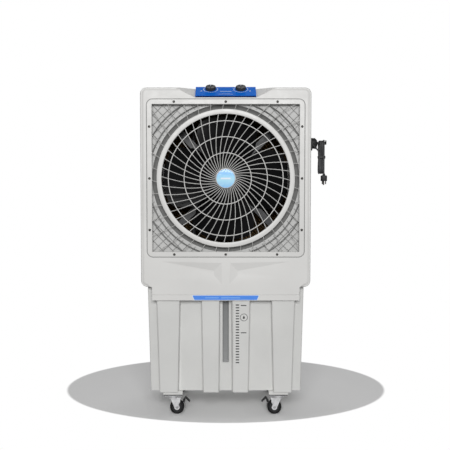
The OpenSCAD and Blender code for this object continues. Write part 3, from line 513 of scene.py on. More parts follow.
# Gland, ribbed boss and peg on their base at the side wall
gland = {"tip": (386.6, -224, 1163.4), "turn": 135, "long": 26, "ridges": 6, "firstRidge": 4.5,
         "ridgePitch": 3.4, "base": ((363.75, -242, 1154), (368.75, -190, 1204)), "baseRound": 9,
         "bossRibs": 10, "bossRib": ((368, -1.5, 13), (384, 1.5, 22.9)), "pegY": -205, "pegZ": 1185.9,
         "pegEnd": 431.6, "pegRadius": 5.9}
bm = bmesh.new()
boxBetween(bm, *gland["base"])
bevelEdges(bm, edgesAlong(bm, 0, 1), gland["baseRound"], 5)
bevelEdges(bm, edgesPast(bm, 0, gland["base"][1][0] - 1), 1.2, 2)
heading = math.radians(gland["turn"])
outward = Vector((math.sin(heading), 0, math.cos(heading)))
outline = [(0.0, 0.0), (10.4, 0.0), (10.6, 3)]
for i in range(gland["ridges"]):
    at = gland["firstRidge"] + i * gland["ridgePitch"]
    wide = 10.3 - (at / gland["long"]) * 4.9
    outline += [(wide, at), (wide, at + 2), (wide - 1.3, at + 2.3), (wide - 1.3, at + 3.2)]
outline += [(5.3, 25.2), (4.6, gland["long"]), (0.0, gland["long"])]
spunShape(bm, outline, Vector(gland["tip"]) - outward * gland["long"], outward, 28)
bossY, bossZ = gland["pegY"] - 3, gland["pegZ"] - 0.6
spunShape(bm, [(0, -2), (22.2, -2), (22.8, 4), (22.4, 11), (20.4, 17), (16.6, 22), (11.5, 25.2), (5.8, 26.4),
               (0, 26.4)], (367, bossY, bossZ), (1, 0, 0), 40)
for i in range(gland["bossRibs"]):
    made = boxBetween(bm, *gland["bossRib"])
    setDown(bm, made, (0, bossY, bossZ), math.tau * i / gland["bossRibs"], "X")
pegTip = (gland["pegEnd"] - 3, gland["pegY"], gland["pegZ"])
roundBar(bm, (368, gland["pegY"], gland["pegZ"]), pegTip, gland["pegRadius"], 24)
spunShape(bm, [(0, 0), (9.2, 0), (9.9, 0.8), (9.9, 2.6), (9, 3.6), (0, 3.9)],
          (gland["pegEnd"] - 3.2, gland["pegY"], gland["pegZ"] + 3), (1, 0, 0), 28)
cordCleat = ownPiece("cordCleat", bm, "black", "black_plastic", ["cord_cleat"])

# Strap round the hank, with its small catch
catch = {"block": ((424.1, -214, 1119.6), (427.2, -203, 1132.4)),
         "tongue": ((426.4, -210.5, 1122), (428.2, -206.5, 1130))}
cordTie = softCopy("cordTie", "cord_tie", "black", "black_plastic", 0.6, 2)
bm = bmesh.new()
boxBetween(bm, *catch["block"])
bevelEdges(bm, bm.edges, 1, 2)
boxBetween(bm, *catch["tongue"])
tieCatch = ownPiece("tieCatch", bm, "black", "black_plastic")

plug = {"place": (419.5, -230.3, 1048), "wide": 26, "deep": 30, "tall": 24, "round": 8, "shoulder": 3.5,
        "collars": 3, "collarPitch": 2.3, "grips": 4, "gripPitch": 3.6, "gripAside": 12.2}
bm = bmesh.new()
plugX, plugY, plugZ = plug["place"]
boxBetween(bm, (plugX - plug["wide"] / 2, plugY - plug["deep"] / 2, plugZ - plug["tall"]),
           (plugX + plug["wide"] / 2, plugY + plug["deep"] / 2, plugZ))
bevelEdges(bm, edgesAlong(bm, 2, 1), plug["round"], 6)
bevelEdges(bm, edgesPast(bm, 2, plugZ - 1), plug["shoulder"], 4)
bevelEdges(bm, edgesPast(bm, 2, plugZ - plug["tall"] + 0.5, -1), 1, 2)
outline = [(0, -1), (6.5, -1)]
for i in range(plug["collars"]):
    wide, slim, up = 6.3 - i * 0.5, 5.4 - i * 0.3, i * plug["collarPitch"]
    outline += [(wide, 1 + up), (wide, 2.3 + up), (slim, 2.6 + up), (slim, 3.2 + up)]
spunShape(bm, outline + [(4.6, 8), (0, 8)], plug["place"], (0, 0, 1), 24)
for side in (-1, 1):
    gripX = plugX + side * plug["gripAside"]
    for i in range(plug["grips"]):
        up = i * plug["gripPitch"]
        boxBetween(bm, (gripX - 0.75, plugY - 7, plugZ - 18 + up), (gripX + 0.75, plugY + 7, plugZ - 16.4 + up))
plugBody = ownPiece("plugBody", bm, "black", "black_plastic", ["plug_body"])
print("mains lead done")

# Front panel
frontLook = {"roll": 19, "halfWide": 363.5, "low": 570, "high": 1420, "corner": 27, "grooveZ": 537,
             "grooveTall": 1.8, "grooveDeep": 1.6, "creaseWithin": 340, "noseLow": 618, "tipWide": 62, "tipLow": 562}


def outlineGap(x, z):
    # how far a point of the front face lies outside the face's rounded outline
    low, high, corner = frontLook["low"], frontLook["high"], frontLook["corner"]
    dx = abs(x) - frontLook["halfWide"] + corner
    dz = abs(z - (low + high) / 2) - (high - low) / 2 + corner
    return math.hypot(max(dx, 0), max(dz, 0)) + min(max(dx, dz), 0) - corner


bm = cadCopy("front_panel")
bmesh.ops.scale(bm, vec=(1000, 1000, 1000), verts=bm.verts)
rolled = [e for e in bm.edges
          if all(abs(v.co.y - faceY) < 0.1 and abs(outlineGap(v.co.x, v.co.z)) < 0.4 for v in e.verts)
          and abs(outlineGap(*((e.verts[0].co + e.verts[1].co) / 2).xz)) < 0.6]
bmesh.ops.bevel(bm, geom=rolled, offset=frontLook["roll"], offset_type="OFFSET", segments=6, profile=0.5,
                affect="EDGES", clamp_overlap=False, material=-1, loop_slide=True)
grooveHalf = frontLook["grooveTall"] / 2
for level in (frontLook["grooveZ"] - grooveHalf, frontLook["grooveZ"] + grooveHalf):
    bmesh.ops.bisect_plane(bm, geom=bm.verts[:] + bm.edges[:] + bm.faces[:], dist=1e-4,
                           plane_co=(0, 0, level), plane_no=(0, 0, 1))
groove = [f for f in bm.faces
          if f.normal.y < -0.9 and abs(f.calc_center_median().z - frontLook["grooveZ"]) < grooveHalf]
pressed = bmesh.ops.extrude_discrete_faces(bm, faces=groove)["faces"]
bmesh.ops.translate(bm, vec=(0, frontLook["grooveDeep"], 0), verts=list({v for f in pressed for v in f.verts}))
bmesh.ops.scale(bm, vec=(mm, mm, mm), verts=bm.verts)
frontPanel = meshObject("frontPanel", bm, "cabinet", "cabinet_plastic", ["front_panel"])


def onFacets(p):
    # the scoop and the nose's wings, and the nose's tip between them
    within = p.z > frontLook["noseLow"] or abs(p.x) < frontLook["tipWide"] and p.z > frontLook["tipLow"]
    return p.y < -200 and abs(p.x) < frontLook["creaseWithin"] and within


crease(frontPanel, onFacets)
softEdges(frontPanel, 0.9, 2, 22)
evenShade = frontPanel.modifiers.new("evenShade", "WEIGHTED_NORMAL")
evenShade.weight, evenShade.keep_sharp = 100, True

for node, width in (("top_cover", 2), ("rear_pillars", 2), ("base_deck", 1)):
    softCopy(node + "Shell", node, "cabinet", "cabinet_plastic", width)
print("cabinet done")

# Grille: rim, walls, heavy ring, thin rings and the curved spokes
grille = {"rim": 667, "rimWide": 20, "rimThick": 4, "rimY": -256, "corner": 24, "gap": 3.4, "gapThick": 0.4,
          "gapY": -257.9, "open": 313.5, "wall": 314, "wallHalf": 1.5, "wallY": (-256.4, -249.5),
          "planeY": -253, "frontY": -257.5, "backY": -247.5, "rings": (109, 177, 244), "ringThick": 1.9, "ringSteps": 96,
          "heavyIn": 273, "heavyOut": 294, "collar": 43, "spokes": 44, "outerSpokes": 36, "spokeThick": 1.6,
          "sideSpokeThick": 1.25, "phase": 2.4, "lean": 15.6, "start": 59.5}


def onCircle(radius, angle, y):
    # a point round the fan's axis, in metres
    return Vector((radius * math.sin(angle), y, fanZ + radius * math.cos(angle))) * mm


def spokeLine(first, last, turn, steps):
    # leans further round with the logarithm of its radius, and stops at the rim
    points = []
    for i in range(steps + 1):
        radius = first + (last - first) * i / steps
        lean = grille["lean"] * math.log(radius / grille["start"])
        place = onCircle(radius, math.radians(turn + grille["phase"] + lean), grille["planeY"])
        points.append(place)
        if max(abs(place.x), abs(place.z - fanZ * mm)) > (grille["open"] + 1.5) * mm:
            break
    return points


def squareRing(half, corner, wide, thick, frontY):
    # a flat band with rounded corners round the fan's axis
    bm = bmesh.new()
    flatGrid(bm, size=half)
    bmesh.ops.bevel(bm, geom=bm.verts[:], offset=corner, offset_type="OFFSET", segments=10, profile=0.5,
                    affect="VERTICES", clamp_overlap=True, material=-1)
    band = set(bmesh.ops.inset_region(bm, faces=bm.faces[:], thickness=wide, use_even_offset=True,
                                      use_boundary=True)["faces"])
    bmesh.ops.delete(bm, geom=[f for f in bm.faces if f not in band], context="FACES")
    grown = bmesh.ops.extrude_face_region(bm, geom=bm.faces[:])["geom"]
    bmesh.ops.translate(bm, vec=(0, 0, thick), verts=[v for v in grown if isinstance(v, bmesh.types.BMVert)])
    setDown(bm, bm.verts, (0, frontY, fanZ), math.radians(90), "X")
    return bm


inward, outward = grille["collar"] - 3, grille["heavyIn"] + 3
lines = [(spokeLine(inward, outward, 360 * i / grille["spokes"], 10), False) for i in range(grille["spokes"])]
inward, outward = grille["heavyOut"] - 3, 450
sideLines = [(spokeLine(inward, outward, 360 * i / grille["outerSpokes"], 46), False)
             for i in range(grille["outerSpokes"])]
tubeObject("grilleSpokes", lines, grille["spokeThick"], "grille", "grille_plastic", 2, (grille["planeY"], 1.8))
tubeObject("grilleSideSpokes", sideLines, grille["sideSpokeThick"], "grille", "grille_plastic", 2,
           (grille["planeY"], 2.2))
rings = []
for radius in grille["rings"]:
    turns = [math.tau * i / grille["ringSteps"] for i in range(grille["ringSteps"])]
    rings.append(([onCircle(radius, turn, grille["planeY"] - 0.4) for turn in turns], True))
tubeObject("grilleRings", rings, grille["ringThick"], "grille", "grille_plastic", 3)

bm = squareRing(grille["rim"] / 2, grille["corner"], grille["rimWide"], grille["rimThick"], grille["rimY"])
wall, wallHalf, (wallFront, wallBack) = grille["wall"], grille["wallHalf"], grille["wallY"]
wallEnd = wall + wallHalf
for side in (-1, 1):
    boxBetween(bm, (side * wall - wallHalf, wallFront, fanZ - wallEnd),
               (side * wall + wallHalf, wallBack, fanZ + wallEnd))
for side in (-1, 1):
    middle = fanZ + side * wall
    boxBetween(bm, (-wallEnd, wallFront, middle - wallHalf), (wallEnd, wallBack, middle + wallHalf))
softEdges(ownPiece("grilleRim", bm, "grille", "grille_plastic", ["grille"]), 1.1, 3)

# A thin dark grey band painted as the shadow in the gap between rim and panel
bm = squareRing(grille["rim"] / 2 + grille["gap"], grille["corner"] + grille["gap"], grille["gap"] + 0.6,
                grille["gapThick"], grille["gapY"])
ownPiece("grilleGapShadow", bm, "shroudLine", "grille_plastic")

bm = bmesh.new()
ringIn, ringOut, front, back = grille["heavyIn"], grille["heavyOut"], grille["frontY"], grille["backY"]
spunShape(bm, [(ringIn, back), (ringIn, -255.2), (ringIn + 1.2, -256.9), (ringIn + 4, front),
               (ringOut - 4, front), (ringOut - 1.2, -256.9), (ringOut, -255.2), (ringOut, back), (ringOut - 3, back),
               (ringOut - 3.4, -253), (ringIn + 3.4, -253), (ringIn + 3, back)], (0, 0, fanZ), fanAxis, 128)
collar = grille["collar"]
spunShape(bm, [(0, back), (41, back), (collar, -249), (collar, -255.4), (41.8, -257.2), (39, front),
               (0, front)], (0, 0, fanZ), fanAxis, 64)
ownPiece("heavyRing", bm, "grille", "grille_plastic")

badge = {"bandHalf": (21, 3.4), "bandY": (-267.7, -266.8), "bandRound": 3}
bm = bmesh.new()
spunShape(bm, [(0, -267.4), (26, -267.1), (38, -266.2), (38.9, -265), (38.9, front), (0, front)],
          (0, 0, fanZ), fanAxis, 64)
ownPiece("badgeFace", bm, "badge", "badge_blue", ["grille_badge"])
bm = bmesh.new()
halfWide, halfTall = badge["bandHalf"]
boxBetween(bm, (-halfWide, badge["bandY"][0], fanZ - halfTall), (halfWide, badge["bandY"][1], fanZ + halfTall))
bevelEdges(bm, edgesAlong(bm, 1, 0.5), badge["bandRound"], 3)
ownPiece("badgeBand", bm, "rimWhite", "badge_blue")
bm = bmesh.new()
spunShape(bm, [(38.4, -262), (38.4, -267), (39, -268.2), (39.9, -267.8), (40.5, -266.6), (40.5, -262),
               (39.8, -258.6), (38.4, -258)], (0, 0, fanZ), fanAxis, 64)
ownPiece("badgeRim", bm, "rimWhite", "badge_blue")

screws = {"pitch": 219, "offset": 323.5, "head": 5.4}
bm = bmesh.new()
outline = [(0, -262.2), (1.2, -262.2), (1.4, -263.6), (3.4, -263.2), (screws["head"], -261.4),
           (screws["head"], -259.6), (0, -259.6)]
for i in (-1, 0, 1):
    for side in (-1, 1):
        along, across = i * screws["pitch"], side * screws["offset"]
        for x, z in ((along, across), (across, along)):
            spunShape(bm, outline, (x, 0, fanZ + z), fanAxis, 14)
ownPiece("screwHeads", bm, "screw", "dark_screw", ["grille_screws"])
print("grille done")

# Duct and its ribbed corners
shroud = {"plateY": -228, "mouth": 314.5, "edge": 313, "clear": 6, "ribDeep": 6, "ribWide": 1.6, "ribLeast": 6,
          "pitch": 41, "crossPitch": 0.72, "arcs": (331, 361), "arcThick": 2.4, "arcSteps": 36}
fanShroud = meshObject("fanShroud", cadCopy("fan_shroud"), "shroud", "shroud_plastic", ["fan_shroud"],
                       smoothAngle=24)
fanShroud.data.materials.append(finishes["duct"])
ductReach = (shroud["mouth"] + 1.5) * mm
shroudPoints = [math.hypot(v.co.x, v.co.z - fanZ * mm) for v in fanShroud.data.vertices]
for face in fanShroud.data.polygons:
    if all(shroudPoints[i] < ductReach for i in face.vertices):
        face.material_index = 1
crease(fanShroud, lambda p: p.y < shroud["plateY"] + 0.5)


def cornerLines(clear, edge, pitch):
    # slanting ribs that run away from the duct, and ribs that cross them
    ribs = []
    for i in range(-6, 7):
        c = i * pitch
        first, last = math.sqrt((clear ** 2 - c * c / 2) / 2), edge - abs(c) / 2
        if last > first + shroud["ribLeast"]:
            ribs.append(((first + c / 2, first - c / 2), (last + c / 2, last - c / 2)))
    for i in range(1, 6):
        away = (clear + i * pitch * shroud["crossPitch"]) * math.sqrt(2) - edge
        if away < edge - 8:
            ribs.append(((edge, away), (away, edge)))
    return ribs


bm = bmesh.new()
halfWide = shroud["ribWide"] / 2
for turn in range(4):
    for start, end in cornerLines(shroud["mouth"] + shroud["clear"], shroud["edge"], shroud["pitch"]):
        length, heading = math.dist(start, end), math.atan2(end[1] - start[1], end[0] - start[0])
        made = boxBetween(bm, (0, -shroud["ribDeep"], -halfWide), (length, 0, halfWide))
        place = Matrix.Translation((start[0], 0, start[1])) @ Matrix.Rotation(-heading, 4, "Y")
        bmesh.ops.transform(bm, matrix=Matrix.Rotation(turn * math.pi / 2, 4, "Y") @ place, verts=made)
bmesh.ops.translate(bm, vec=(0, shroud["plateY"], fanZ), verts=bm.verts)
# the ribs take a dark grey, painted as their shadow lines on the pale plate
ownPiece("cornerRibs", bm, "shroudLine", "shroud_plastic")
# thin dark grey arcs round the duct's mouth, painted shadow lines
arcs = []
for radius in shroud["arcs"]:
    reach = math.degrees(math.acos(min(1, shroud["edge"] / radius)))
    for turn in range(4):
        first, last = 90 * turn + reach + 0.5, 90 * turn + 90 - reach - 0.5
        turns = [first + (last - first) * i / shroud["arcSteps"] for i in range(shroud["arcSteps"] + 1)]
        ribFront = shroud["plateY"] - shroud["ribDeep"]
        arcs.append(([onCircle(radius, math.radians(a), ribFront) for a in turns], False))
tubeObject("cornerArcs", arcs, shroud["arcThick"], "shroudLine", "shroud_plastic", 2,
           (shroud["plateY"] - 4, 2.4))

# Fan: four twisted blades on a ribbed hub
fan = {"y": -174, "root": 44, "tip": 268, "blades": 4, "rootPitch": 33, "tipPitch": 22, "camber": 0.07,
       "thick": 2.8, "tipRound": 16, "ribs": (0.28, 0.5, 0.72), "hubRibs": 12, "hubRib": ((-1.6, 2, 18), (1.6, 28, 47)),
       "outline": ((30, -35, 35), (100, -76, 84), (120, -90, 100), (190, -134, 146), (270, -131, 150))}


def bladeSide(radius, side):
    # how far the blade reaches to one side at a radius; the outline holds (radius, left, right)
    outline = fan["outline"]
    column = 1 if side < 0 else 2
    for near, far in zip(outline, outline[1:]):
        if radius <= far[0]:
            return near[column] + (far[column] - near[column]) * ((radius - near[0]) / (far[0] - near[0]))
    return outline[-1][column]


def bladePoint(across, out):
    # across and out run from 0 to 1, from side to side and from the hub to the tip
    radius = fan["root"] + (fan["tip"] - fan["root"]) * out
    x = bladeSide(radius, -1) * (1 - across) + bladeSide(radius, 1) * across
    corner = max(0, abs(across - 0.5) * 2 - 0.82) / 0.18
    radius -= fan["tipRound"] * corner ** 2 * max(0, out - 0.8) / 0.2
    pitch = math.radians(fan["rootPitch"] + (fan["tipPitch"] - fan["rootPitch"]) * out)
    chord = bladeSide(radius, 1) - bladeSide(radius, -1)
    bow = fan["camber"] * chord * (1 - (2 * across - 1) ** 2)
    z = math.sqrt(max(radius ** 2 - x ** 2 * 0.92, 100))
    y = x * math.sin(pitch) - bow * math.cos(pitch) + bow * 0.5
    return x * math.cos(pitch) + bow * math.sin(pitch), y, z


for blade in range(fan["blades"]):
    bm = bmesh.new()
    for v in flatGrid(bm, 20, 26):
        v.co = bladePoint(v.co.x + 0.5, v.co.y + 0.5)
    bmesh.ops.recalc_face_normals(bm, faces=bm.faces)
    bmesh.ops.solidify(bm, geom=bm.faces[:], thickness=fan["thick"])
    for rib in fan["ribs"]:
        foot = bladeSide(70, -1) * (1 - rib) + bladeSide(70, 1) * rib
        boxBetween(bm, (foot - 1.5, -6 + foot * 0.55, 46), (foot + 1.5, 1 + foot * 0.55, 92))
    setDown(bm, bm.verts, (0, fan["y"], fanZ), math.tau * blade / fan["blades"])
    ownPiece(f"fanBlade{blade + 1}", bm, "fan", "fan_black", body="fan")
bm = bmesh.new()
spunShape(bm, [(6, -28), (20, -30), (40, -29), (48, -25), (50, -20), (50, 29), (47, 30), (46, 24), (20, 24),
               (19, 30), (6, 30)], (0, fan["y"], fanZ), fanAxis, 64)
for i in range(fan["hubRibs"]):
    setDown(bm, boxBetween(bm, *fan["hubRib"]), (0, fan["y"], fanZ), math.tau * i / fan["hubRibs"])
ownPiece("fanHub", bm, "fan", "fan_black", ["fan_rotor"], "fan")
print("fan done")

# Motor with cooling fins, its wiring box and its clamp
motor = {"front": -130, "radius": 62, "fins": 9, "finFrom": 36, "finPitch": 7,
         "box": ((-24, -76, 1091), (24, -30, 1119))}
bm = bmesh.new()
radius = motor["radius"]
outline = [(6.05, -6), (19, -8), (20, -6), (20, 0), (52, 0), (59, 3), (radius - 1, 8)]
for i in range(motor["fins"]):
    at = motor["finFrom"] + i * motor["finPitch"]
    outline += [(radius - 1, at - 1.2), (radius, at), (radius, at + 2.4), (radius - 1, at + 3),
                (radius - 4, at + 3.4), (radius - 4, at + 5.4)]
outline += [(radius - 1, 104), (radius - 4, 109), (50, 110), (30, 110), (28, 106), (6.05, 106)]
spunShape(bm, outline, (0, motor["front"], fanZ), fanAxis, 72)
bevelEdges(bm, edgesOf(boxBetween(bm, *motor["box"])), 3, 3)
ownPiece("motorShell", bm, "motor", "motor_paint", ["motor_body"])
# the clamp takes the motor's near-black finish, painted shade on a steel bracket deep inside the cabinet
softCopy("motorClamp", "motor_bracket", "motor", "steel", 0.7, 2)

# Sloping control panel with its printed dials
panel = {"tilt": math.atan(46 / 80), "along": 64, "frontZ": 1376, "lip": 8, "knobGap": 129, "width": 258,
         "raised": 0.45, "arc": 30, "arcEnds": (35, 325), "line": 2.4, "ticks": 7, "tickFrom": 70,
         "tickSpan": 220, "tickOut": 5.2, "arrow": (104, -18), "arrowSize": 6, "bow": 60,
         "bar": ((-24, -23, 0.05), (24, -20, 0.45))}
along, tilt = panel["along"], panel["tilt"]
foot = panel["frontZ"] + panel["lip"]
panelPlace = Matrix.Translation((0, faceY + along * math.cos(tilt), foot + along * math.sin(tilt)))
panelPlace = panelPlace @ Matrix.Rotation(tilt, 4, "X")
softCopy("controlPanel", "control_panel", "blue", "blue_panel", 1.2)
bm = bmesh.new()
boxBetween(bm, (-panel["width"] / 2 + 1.2, faceY - 0.9, panel["frontZ"] + 0.8),
           (panel["width"] / 2 - 1.2, faceY + 0.8, panel["frontZ"] + panel["lip"] - 1))
ownPiece("panelFront", bm, "navy", "blue_panel")


def printedArc(bm, x, radius, first, last, wide, steps):
    ring = flatGrid(bm, steps)
    for v in ring:
        a = math.radians(first + (last - first) * (v.co.x + 0.5))
        r = radius + wide * v.co.y
        v.co = (x + r * math.sin(a), r * math.cos(a), panel["raised"])
    return ring


bm = bmesh.new()
for side in (-1, 1):
    middle = side * panel["knobGap"] / 2
    printedArc(bm, middle, panel["arc"], *panel["arcEnds"], panel["line"], 40)
    away = panel["arc"] + panel["tickOut"]
    for i in range(panel["ticks"]):
        a = math.radians(panel["tickFrom"] + i * panel["tickSpan"] / (panel["ticks"] - 1))
        made = flatGrid(bm, size=1)
        bmesh.ops.transform(bm, matrix=Matrix.Diagonal((0.55, 1.6 if i % 3 else 2.6, 1, 1)), verts=made)
        setDown(bm, made, (middle + away * math.sin(a), away * math.cos(a), panel["raised"]), -a, "Z")
    made = bmesh.ops.create_circle(bm, cap_ends=True, segments=3, radius=panel["arrowSize"])["verts"]
    bmesh.ops.translate(bm, vec=(side * panel["arrow"][0], panel["arrow"][1], panel["raised"]), verts=made)
for v in printedArc(bm, 0, panel["bow"], 150, 210, 2.2, 16):
    # flattened to a shallow smile
    v.co.y = -48 - 3 * (v.co.x / 30) ** 2 + (1.1 if v.co.xy.length > panel["bow"] else -1.1)
boxBetween(bm, *panel["bar"])
bmesh.ops.transform(bm, matrix=panelPlace, verts=bm.verts)
ownPiece("panelPrint", bm, "printPale", "blue_panel")

knob = {"radius": 23, "top": 21.3, "tall": 13, "flutes": 18, "flute": 0.955,
        "grip": ((-2.6, -19, -0.5), (2.6, 19, 1)), "pointer": ((-0.7, 6, 0.9), (0.7, 18, 1.15))}


def onKnob(corners):
    # a box's corners with their heights counted from the knob's top
    return [(x, y, knob["tall"] + z) for x, y, z in corners]


for side, node in ((-1, "speed_knob"), (1, "pump_knob")):
    knobPlace = panelPlace @ Matrix.Translation((side * panel["knobGap"] / 2, 0, 0))
    bm = bmesh.new()
    made = bmesh.ops.create_cone(bm, cap_ends=True, segments=knob["flutes"] * 4, radius1=knob["radius"],
                                 radius2=knob["top"], depth=knob["tall"])["verts"]
    bmesh.ops.translate(bm, vec=(0, 0, 1 + knob["tall"] / 2), verts=made)
    for v in made:
        if math.atan2(v.co.y, v.co.x) * knob["flutes"] / math.tau % 1 > 0.55:
            v.co.xy *= knob["flute"]
    bevelEdges(bm, edgesPast(bm, 2, knob["tall"]), 1.4, 3)
    top = max(bm.faces, key=lambda f: f.calc_center_median().z * 1000 + f.calc_area())
    bmesh.ops.inset_region(bm, faces=[top], thickness=3.4, use_even_offset=True)
    bmesh.ops.translate(bm, vec=(0, 0, -0.9), verts=list(top.verts))
    bevelEdges(bm, edgesOf(boxBetween(bm, *onKnob(knob["grip"]))), 0.6, 2)
    roundBar(bm, (0, 0, -20), (0, 0, 2), 3, 20)
    bmesh.ops.transform(bm, matrix=knobPlace, verts=bm.verts)
    ownPiece(node + "Cap", bm, "knob", "knob_black", [node], node)
    bm = bmesh.new()
    boxBetween(bm, *onKnob(knob["pointer"]))
    bmesh.ops.transform(bm, matrix=knobPlace, verts=bm.verts)
    ownPiece(node + "Pointer", bm, "printPale", "knob_black", body=node)
print("controls done")

# Tank with rounded ribs, level window and printed scale
tank = {"ribRound": 5, "top": 570, "topY": -248, "lean": 13 / 462}
bm = cadCopy("water_tank")
ribEdges = [e for e in edgesAlong(bm, 2, 0.3)
            if len(e.link_faces) == 2 and e.calc_face_angle(0) > 0.5 and abs(e.verts[0].co.x) > 0.02]
bevelEdges(bm, ribEdges, tank["ribRound"] * mm, 4)
softEdges(meshObject("waterTank", bm, "tank", "tank_plastic", ["water_tank"]), 1, 2, 24)
softCopy("levelWindow", "level_window", "window", "window_clear", 1, 2)

scale = {"x": 78, "z": 438, "ring": 15.4, "line": 2.2, "drop": 4.6, "ticks": 22, "tickX": 50.5, "tickLow": 240,
         "pitch": 12, "tickTall": 4.8, "bars": (490, 371), "dashes": 58, "dashX": 31.5, "dashLow": 238,
         "dashPitch": 4.5}


def printedBar(bm, x, z, wide, tall):
    for v in flatGrid(bm):
        v.co = (x + v.co.x * wide, 0, z + v.co.y * tall)


bm = bmesh.new()
for v in flatGrid(bm, 32):
    a = math.tau * (v.co.x + 0.5)
    r = scale["ring"] + scale["line"] * v.co.y
    v.co = (scale["x"] + r * math.sin(a), 0, scale["z"] + r * math.cos(a))
drop = bmesh.ops.create_circle(bm, cap_ends=True, segments=20, radius=scale["drop"])["verts"]
for v in drop:
    narrowed = v.co.x * (1 - max(0, v.co.y) * 0.1)
    v.co = (scale["x"] + narrowed, 0, scale["z"] - 2 + v.co.y * (1.9 if v.co.y > 0 else 1))
for i in range(scale["ticks"]):
    wide = 14.5 if i % 5 else 15
    printedBar(bm, scale["tickX"], scale["tickLow"] + i * scale["pitch"], wide, scale["tickTall"])
for z in scale["bars"]:
    printedBar(bm, scale["x"] - 1, z, 24, 4)
for i in range(scale["dashes"]):
    printedBar(bm, scale["dashX"], scale["dashLow"] + i * scale["dashPitch"], 1.1, 2)
bmesh.ops.remove_doubles(bm, verts=bm.verts, dist=1e-3)
for v in bm.verts:
    v.co.y = tank["topY"] + tank["lean"] * (tank["top"] - v.co.z) - 0.35
bmesh.ops.scale(bm, vec=(mm, mm, mm), verts=bm.verts)
bmesh.ops.recalc_face_normals(bm, faces=bm.faces)
for f in bm.faces:
    if f.normal.y > 0:
        f.normal_flip()
meshObject("scalePrint", bm, "printDark", "mark_dark", ["level_marks"])

# Blue strip with a pale rim
strip = {"half": 144.5, "z": 537, "tall": 23, "slant": 8, "rim": 2.1, "rimOut": 1.1, "faceOut": 1.5, "round": 3,
         "words": ((-88, -30), (-20, 62)), "wordsY": (-259.75, -259.4), "wordsDown": (13.6, 10)}
for name, shrink, front, finish, replaced in (("labelRim", 0, strip["rimOut"], "rimWhite", ["label_strip"]),
                                              ("labelFace", strip["rim"], strip["faceOut"], "label", [])):
    bm = bmesh.new()
    for v in bmesh.ops.create_cube(bm, size=1)["verts"]:
        high = v.co.z > 0
        half = strip["half"] - shrink * 1.3 - (0 if high else strip["slant"])
        v.co = (half * (1 if v.co.x > 0 else -1), faceY if v.co.y > 0 else faceY - front,
                strip["z"] - shrink if high else strip["z"] - strip["tall"] + shrink)
    bevelEdges(bm, edgesAlong(bm, 1, 0.5), strip["round"], 3)
    ownPiece(name, bm, finish, "label_blue", replaced)
bm = bmesh.new()
for left, right in strip["words"]:
    boxBetween(bm, (left, strip["wordsY"][0], strip["z"] - strip["wordsDown"][0]),
               (right, strip["wordsY"][1], strip["z"] - strip["wordsDown"][1]))
ownPiece("labelPrint", bm, "printMid", "label_blue")
print("tank done")

# Louvres, pads and the water parts
for node in ("left_louvre", "right_louvre", "rear_louvre"):
    bm = bmesh.new()
    bm.from_mesh(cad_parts[node].data)
    bmesh.ops.remove_doubles(bm, verts=bm.verts, dist=2e-6)
    meshObject(node + "Frame", bm, "louvre", "cabinet_plastic", [node], smoothAngle=24)
carried = {
    "left_pad": "paper", "right_pad": "paper", "rear_pad": "paper", "water_distributor": "inner",
    "supply_hose": "hose", "pump_body": "pump", "pump_strainer": "black", "float_valve": "rimWhite",
    "float_arm": "float", "fan_shaft": "steel", "bracket_bolts": "steel", "rotary_switches": "black",
    "plug_pins": "screw",
}
for node, finish in carried.items():
    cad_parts[node].data.materials.clear()
    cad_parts[node].data.materials.append(finishes[finish])
softCopy("drainCap", "drain_cap", "black", "black_plastic", 0.8, 2, body="drain_cap")

# Casters
caster = {"legTop": 66, "legTaper": 17, "legNarrow": 0.6, "wheelX": 214, "axleZ": 31.5, "frontY": -180,
          "rearY": 192, "hubRibs": 6, "shieldRadius": 35.5, "shieldWide": 17, "shieldFrom": 60,
          "shieldTo": 100, "shieldThick": 1.6}
tyreOutline = [(21, -10.5), (24, -12), (27.5, -12), (30, -11), (31.2, -8.5), (31.5, -5), (31.5, 5), (31.2, 8.5),
               (30, 11), (27.5, 12), (24, 12), (21, 10.5)]
hubOutline = [(4.05, -13), (8, -13), (9.4, -11.5), (10, -9.4), (18, -8.4), (20.4, -10.6), (21.4, -10.6),
              (21.4, 10.6), (20.4, 10.6), (18, 8.4), (10, 9.4), (9.4, 11.5), (8, 13), (4.05, 13)]


def narrowLegs(bm, middleX):
    # the fork's legs lean in toward the wheel as they rise from the axle
    for v in bm.verts:
        if v.co.z < caster["legTop"] * mm:
            rise = max(0, min(1, (v.co.z / mm - caster["axleZ"]) / caster["legTaper"]))
            v.co.x = middleX * mm + (v.co.x - middleX * mm) * (1 - caster["legNarrow"] * rise)


